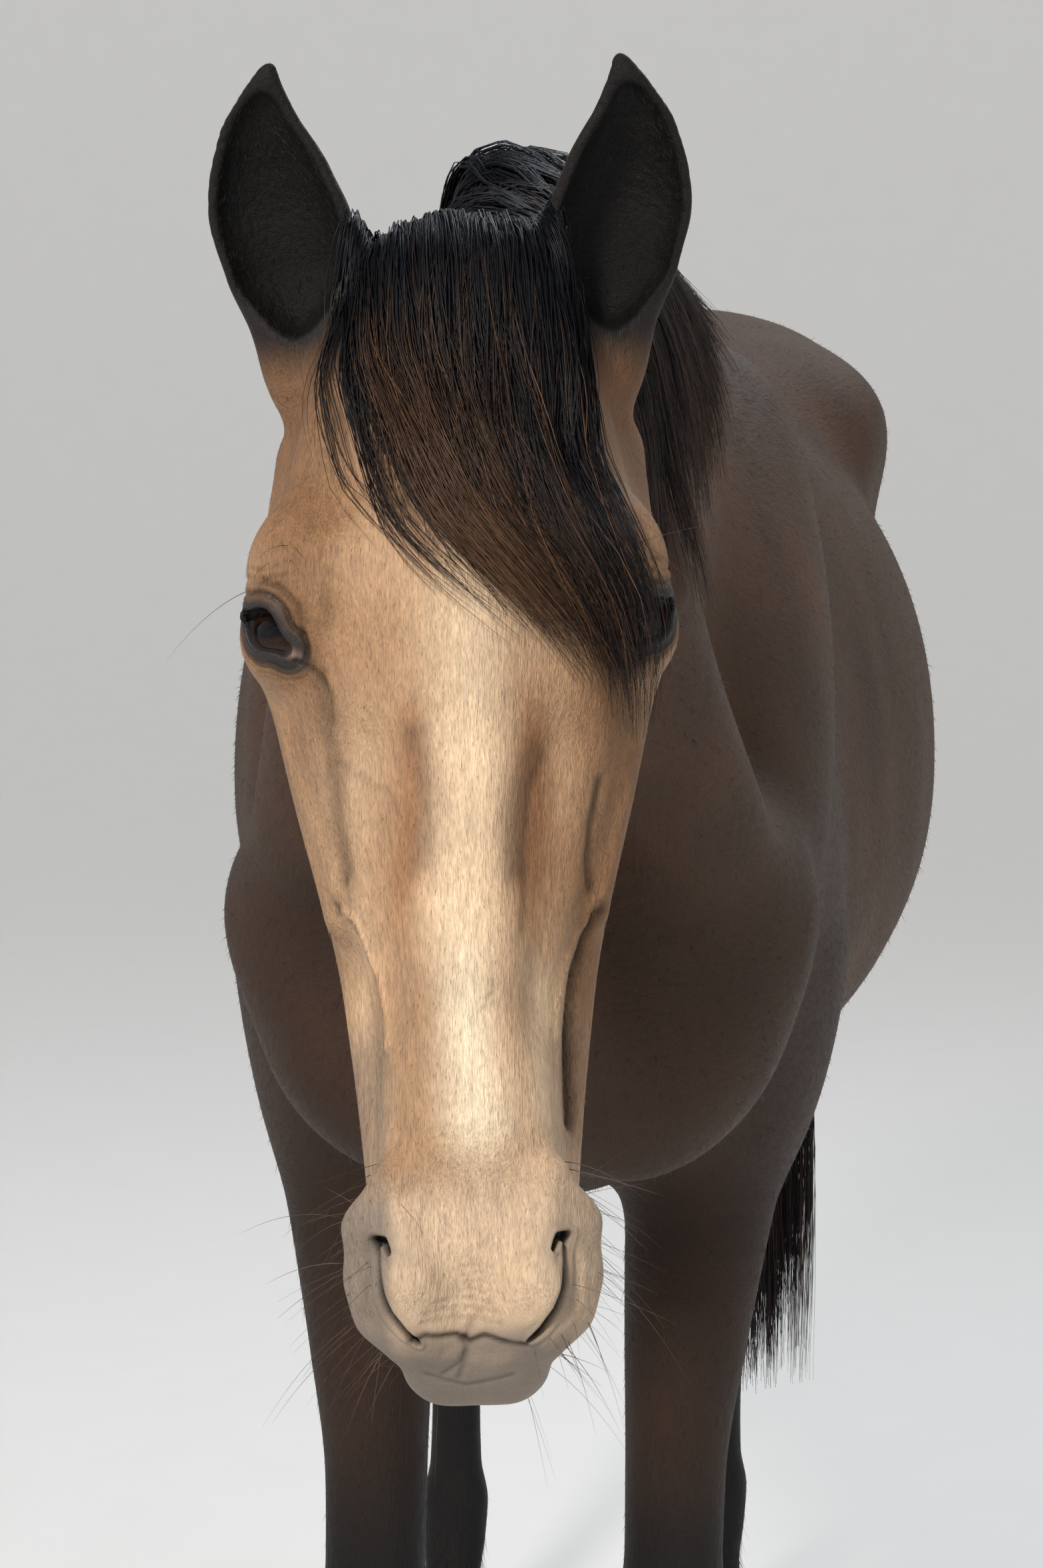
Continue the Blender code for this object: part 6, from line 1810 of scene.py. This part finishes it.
def coat_material():
    """Short, sleek hair: streaks along the lie of the coat, and finer, wrinkled bare skin."""
    nodes = Nodes("Coat")
    colour = nodes.attribute("Coat").outputs["Color"]
    place = nodes.attribute("Grain").outputs["Vector"]
    bare = nodes.attribute("Bare").outputs["Fac"]
    hairs = nodes.noise(nodes.stretched(place, (1.0, 0.10, 1.0)), 1500.0, 2.0)
    clumps = nodes.noise(nodes.stretched(place, (1.0, 0.22, 1.0)), 260.0, 3.0)
    dapples = nodes.noise(place, 14.0, 3.0)
    cells = nodes.add("TexVoronoi", {"feature": "DISTANCE_TO_EDGE"}, Vector=place, Scale=800.0)
    skin = cells.outputs["Distance"]
    strength = nodes.math("MULTIPLY", nodes.ranged(hairs, 0.76, 1.24), nodes.ranged(clumps, 0.86, 1.14))
    strength = nodes.math("MULTIPLY", strength, nodes.ranged(dapples, 0.90, 1.10))
    worn = nodes.scaled_colour(colour, strength)
    bare_colour = nodes.scaled_colour(colour, nodes.ranged(skin, 0.93, 1.03, 0.0, 0.25))
    relief = nodes.bump(clumps, 0.0016)
    relief = nodes.bump(hairs, 0.0007, relief)
    bare_relief = nodes.bump(skin, 0.0003, nodes.bump(clumps, 0.0008))
    normal = nodes.blended(relief, bare_relief, bare)
    roughness = nodes.math("SUBTRACT", nodes.ranged(clumps, 0.52, 0.68), nodes.math("MULTIPLY", bare, 0.10))
    return nodes.shade(Base_Color=nodes.blended(worn, bare_colour, bare), Roughness=roughness, Normal=normal,
                       Specular_IOR_Level=0.22)


def hair_material():
    """Long and short hairs, coloured from root to tip by each strand's own tint."""
    nodes = Nodes("Hair")
    tint = nodes.attribute("Tint").outputs["Color"]
    spot = nodes.add("TexCoord").outputs["Object"]
    patchy = nodes.noise(nodes.stretched(spot, (1.0, 1.0, 0.25)), 90.0, 2.0)
    shine = nodes.noise(spot, 240.0, 2.0)
    return nodes.shade(Base_Color=nodes.scaled_colour(tint, nodes.ranged(patchy, 0.75, 1.25)),
                       Roughness=nodes.ranged(shine, 0.40, 0.52), Normal=nodes.bump(shine, 0.0002),
                       Specular_IOR_Level=0.20)


def fur_material():
    """Short tufts that share the coat's colours."""
    nodes = Nodes("Fur")
    tint = nodes.attribute("Tint").outputs["Color"]
    spot = nodes.add("TexCoord").outputs["Object"]
    patchy = nodes.noise(spot, 400.0, 2.0)
    return nodes.shade(Base_Color=nodes.scaled_colour(tint, nodes.ranged(patchy, 0.85, 1.15)),
                       Roughness=nodes.ranged(patchy, 0.50, 0.62), Normal=nodes.bump(patchy, 0.0002),
                       Specular_IOR_Level=0.35)


def eye_material():
    """A wet, very dark brown iris with fine fibres round a wide black pupil."""
    nodes = Nodes("Eye")
    tint = nodes.attribute("Tint").outputs["Color"]
    spot = nodes.add("TexCoord").outputs["Object"]
    fibres = nodes.noise(spot, 900.0, 4.0)
    wet = nodes.noise(spot, 60.0, 2.0)
    return nodes.shade(Base_Color=nodes.scaled_colour(tint, nodes.ranged(fibres, 0.7, 1.4)),
                       Roughness=nodes.ranged(wet, 0.05, 0.09), Normal=nodes.bump(wet, 0.00015),
                       Specular_IOR_Level=0.20, Coat_Weight=0.20, Coat_Roughness=0.02)


def horn_material():
    """Dark hoof horn: growth rings round it, fine tubes down it, and dust near the ground."""
    nodes = Nodes("Horn")
    spot = nodes.add("TexCoord").outputs["Object"]
    height = nodes.add("SeparateXYZ", None, Vector=spot).outputs["Z"]
    rings = nodes.noise(nodes.stretched(spot, (3.0, 3.0, 60.0)), 4.0, 3.0)
    tubes = nodes.noise(nodes.stretched(spot, (1.0, 1.0, 0.05)), 700.0, 2.0)
    dust = nodes.math("MULTIPLY", nodes.ranged(height, 1.0, 0.0, 0.0, 0.030), nodes.ranged(tubes, 0.3, 1.0))
    horn = nodes.blended((0.045, 0.036, 0.032, 1), (0.105, 0.085, 0.068, 1), nodes.ranged(rings, 0.0, 1.0))
    horn = nodes.blended(horn, (0.30, 0.25, 0.20, 1), nodes.math("MULTIPLY", dust, 0.5))
    relief = nodes.bump(tubes, 0.0002, nodes.bump(rings, 0.0012))
    return nodes.shade(Base_Color=horn, Roughness=nodes.ranged(tubes, 0.34, 0.56), Normal=relief)


def stage_material():
    nodes = Nodes("Pale stage")
    spot = nodes.add("TexCoord").outputs["Object"]
    speckle = nodes.noise(spot, 7.0, 4.0)
    tone = nodes.blended((0.70, 0.69, 0.67, 1), (0.74, 0.73, 0.71, 1), speckle)
    return nodes.shade(Base_Color=tone, Roughness=nodes.ranged(speckle, 0.75, 0.85), Specular_IOR_Level=0.2,
                       Emission_Color=(1.0, 0.99, 0.97, 1), Emission_Strength=0.22)


def eye_object(side, name):
    """A ball with a bulging clear front and a wide pupil that lies level."""
    mirror = np.array((side, 1, 1))
    origin, rows = HEAD
    facing = (np.array(EYE_FACING) * mirror) @ rows
    level = np.cross(facing, (0, 0, 1))
    level /= np.linalg.norm(level)
    upright = np.cross(level, facing)
    centre = origin + (np.array(EYE) * mirror) @ rows
    rings, around = 56, 96
    polar = np.linspace(0, np.pi, rings + 1)[1:-1]
    turn = 2 * np.pi * np.arange(around) / around
    radius = EYE_RADIUS + 0.0010 * np.exp(-((polar / 0.55) ** 2))
    flat = np.sin(polar)[:, None, None] * (np.cos(turn)[:, None] * level + np.sin(turn)[:, None] * upright)
    points = centre + radius[:, None, None] * (flat + np.cos(polar)[:, None, None] * facing)
    ends = [centre + (EYE_RADIUS + 0.0010) * facing, centre - EYE_RADIUS * facing]
    points = np.concatenate([points.reshape(-1, 3), ends])
    index = np.arange((rings - 1) * around).reshape(rings - 1, around)
    nxt = np.roll(index, -1, axis=1)
    quads = np.stack([index[:-1], index[1:], nxt[1:], nxt[:-1]], axis=-1).reshape(-1, 4)
    front, back = len(points) - 2, len(points) - 1
    caps = [(front, a, b) for a, b in zip(index[0], nxt[0])]
    caps += [(back, b, a) for a, b in zip(index[-1], nxt[-1])]
    data = bpy.data.meshes.new(name)
    data.from_pydata(points.tolist(), [], quads.tolist() + [[int(i) for i in cap] for cap in caps])
    rel = (points - centre) / EYE_RADIUS
    across, high, ahead = rel @ level, rel @ upright, rel @ facing
    pupil = smooth_step(1.25, 0.85, np.hypot(across / 0.40, high / 0.20)) * (ahead > 0)
    iris = smooth_step(0.78, 0.66, np.hypot(across, high)) * (ahead > 0)
    colour = mixed(np.broadcast_to(EYE_WHITE, points.shape), EYE_BROWN, iris)
    colour = mixed(colour, EYE_BLACK, pupil)
    set_colours(data, "Tint", colour)
    data.polygons.foreach_set("use_smooth", np.ones(len(data.polygons), bool))
    obj = bpy.data.objects.new(name, data)
    data.materials.append(LOOKS["eye"])
    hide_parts("eye_left" if side > 0 else "eye_right")
    return placed(obj)


def set_colours(data, name, colours):
    values = np.ones((len(colours), 4), np.float32)
    values[:, :3] = colours
    data.color_attributes.new(name, "FLOAT_COLOR", "POINT").data.foreach_set("color", values.ravel())


def set_numbers(data, name, values):
    data.attributes.new(name, "FLOAT", "POINT").data.foreach_set("value", values.astype(np.float32))


def hoof_object(where, name):
    """Horn with growth rings, a sloping coronet and a cupped sole."""
    _, x, y, _ = LEGS[where]
    levels, around = 44, 96
    share = np.linspace(0, 1, levels)
    turn = 2 * np.pi * np.arange(around) / around
    swell = 1 + 0.10 * np.cos(turn) * np.cos(turn / 2) ** 2
    half_wide = HOOF_HALF_WIDTH * (1 - share) + HOOF_TOP_RADIUS * share
    rings = 0.00045 * np.sin(share * 46) * smooth_step(0, 0.08, share) * smooth_step(1, 0.9, share)
    lip = 0.0012 * np.exp(-(((share - 1) / 0.05) ** 2))
    stand = (half_wide + rings + lip)[:, None]
    wide = np.sin(turn) * stand
    length = HOOF_HALF_LENGTH * (swell - share[:, None]) + HOOF_TOP_RADIUS * share[:, None]
    length = length + (rings + lip)[:, None]
    ahead = np.cos(turn) * length
    middle_y = y - HOOF_BACK - HOOF_TOE * (1 - share)
    height = share[:, None] * (CORONET - 0.001) + CORONET_SLOPE * ahead * share[:, None]
    outer = np.stack([x + wide, middle_y[:, None] - ahead, height], axis=2)
    crown = outer[-1].mean(axis=0)
    ground = outer[0].mean(axis=0)
    top = [crown + (outer[-1] - crown) * s for s in (0.93, 0.75, 0.4)]
    cupped = ((0.90, 0.0), (0.84, 0.004), (0.5, 0.006))
    sole = [ground + (outer[0] - ground) * s + np.array((0, 0, up)) for s, up in cupped]
    stack = np.stack([*sole[::-1], *outer, *top])
    number = len(stack)
    index = np.arange(number * around).reshape(number, around)
    nxt = np.roll(index, -1, axis=1)
    quads = np.stack([index[:-1], nxt[:-1], nxt[1:], index[1:]], axis=-1).reshape(-1, 4)
    data = bpy.data.meshes.new(name)
    faces = quads.tolist() + [index[0, ::-1].tolist(), index[-1].tolist()]
    data.from_pydata(stack.reshape(-1, 3).tolist(), [], faces)
    data.polygons.foreach_set("use_smooth", np.ones(len(data.polygons), bool))
    obj = bpy.data.objects.new(name, data)
    data.materials.append(LOOKS["horn"])
    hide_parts("hoof_" + where)
    return placed(obj)


def paint_skin(obj, points):
    """Stores the coat's colours with their painted shade and highlights, its lie and its bare places on the
    skin's points.
    """
    data = obj.data
    set_colours(data, "Coat", coat_colours(points))
    set_numbers(data, "Bare", bare_share(points))
    lie = data.attributes.new("Grain", "FLOAT_VECTOR", "POINT")
    lie.data.foreach_set("vector", grain(points).astype(np.float32).ravel())
    data.materials.append(LOOKS["coat"])
    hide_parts(*SKIN_NODES)
    return placed(obj)


def area_light(name, place, target, size, power, colour):
    data = bpy.data.lights.new(name, "AREA")
    data.shape = "DISK"
    data.size = size
    data.energy = power
    data.color = colour
    obj = bpy.data.objects.new(name, data)
    obj.location = place
    obj.rotation_euler = (Vector(target) - Vector(place)).to_track_quat("-Z", "Y").to_euler()
    bpy.context.scene.collection.objects.link(obj)


def studio():
    """A seamless pale bowl, a key light from the front left, a soft top light and a low fill."""
    profile = [(0.0, 0.0), (5.0, 0.0), (9.0, 0.0)]
    for k in range(1, 17):
        angle = math.pi / 2 * k / 16
        profile.append((9.0 + 5.0 * math.sin(angle), 5.0 * (1 - math.cos(angle))))
    profile.append((14.0, 12.0))
    around = 96
    points, faces = [(0, 0, 0)], []
    for radius, height in profile[1:]:
        for i in range(around):
            angle = 2 * math.pi * i / around
            points.append((radius * math.cos(angle), radius * math.sin(angle), height))
    faces += [(0, 1 + i, 1 + (i + 1) % around) for i in range(around)]
    for k in range(len(profile) - 2):
        low, high = 1 + k * around, 1 + (k + 1) * around
        for i in range(around):
            j = (i + 1) % around
            faces.append((low + i, high + i, high + j, low + j))
    data = bpy.data.meshes.new("Studio")
    data.from_pydata(points, [], faces)
    data.polygons.foreach_set("use_smooth", np.ones(len(data.polygons), bool))
    data.materials.append(stage_material())
    bowl = bpy.data.objects.new("Studio", data)
    bpy.context.scene.collection.objects.link(bowl)

    world = bpy.data.worlds.new("Soft daylight")
    world.use_nodes = True
    bpy.context.scene.world = world
    background = world.node_tree.nodes["Background"]
    background.inputs["Color"].default_value = (0.84, 0.90, 1.0, 1)
    background.inputs["Strength"].default_value = 0.25
    area_light("Key", (-1.25, -3.75, 3.35), (0, -1.1, 1.25), 0.7, 150, (1.0, 0.95, 0.89))
    area_light("Fill", (4.0, -4.0, 1.8), (0, -0.6, 1.1), 2.5, 30, (0.90, 0.95, 1.0))
    area_light("Top", (1.2, 2.2, 4.8), (0, 0.0, 1.3), 2.0, 100, (0.86, 0.93, 1.0))


def camera():
    bpy.context.scene.view_settings.view_transform = "Standard"
    data = bpy.data.cameras.new("Camera")
    data.sensor_fit = "VERTICAL"
    data.sensor_height = CAMERA_SENSOR
    data.lens = CAMERA_LENS
    data.clip_start = 0.05
    data.clip_end = 100.0
    obj = bpy.data.objects.new("Camera", data)
    obj.location = CAMERA_PLACE
    turn, pitch = CAMERA_TURN, CAMERA_PITCH
    way = Vector((-math.sin(turn) * math.cos(pitch), math.cos(turn) * math.cos(pitch), -math.sin(pitch)))
    obj.rotation_euler = way.to_track_quat("-Z", "Y").to_euler()
    bpy.context.scene.collection.objects.link(obj)
    bpy.context.scene.camera = obj


def main():
    camera()
    studio()
    LINES.extend(face_lines())
    LOOKS.update(coat=coat_material(), hair=hair_material(), fur=fur_material())
    LOOKS.update(eye=eye_material(), horn=horn_material())
    skin = paint_skin(*skin_object())
    for side, name in ((1, "Eye_left"), (-1, "Eye_right")):
        eye_object(side, name)
    for where in LEGS:
        hoof_object(where, "Hoof_" + where)
    mane()
    forelock()
    tail()
    coat_tufts(skin)
    whiskers()
    lashes()


main()
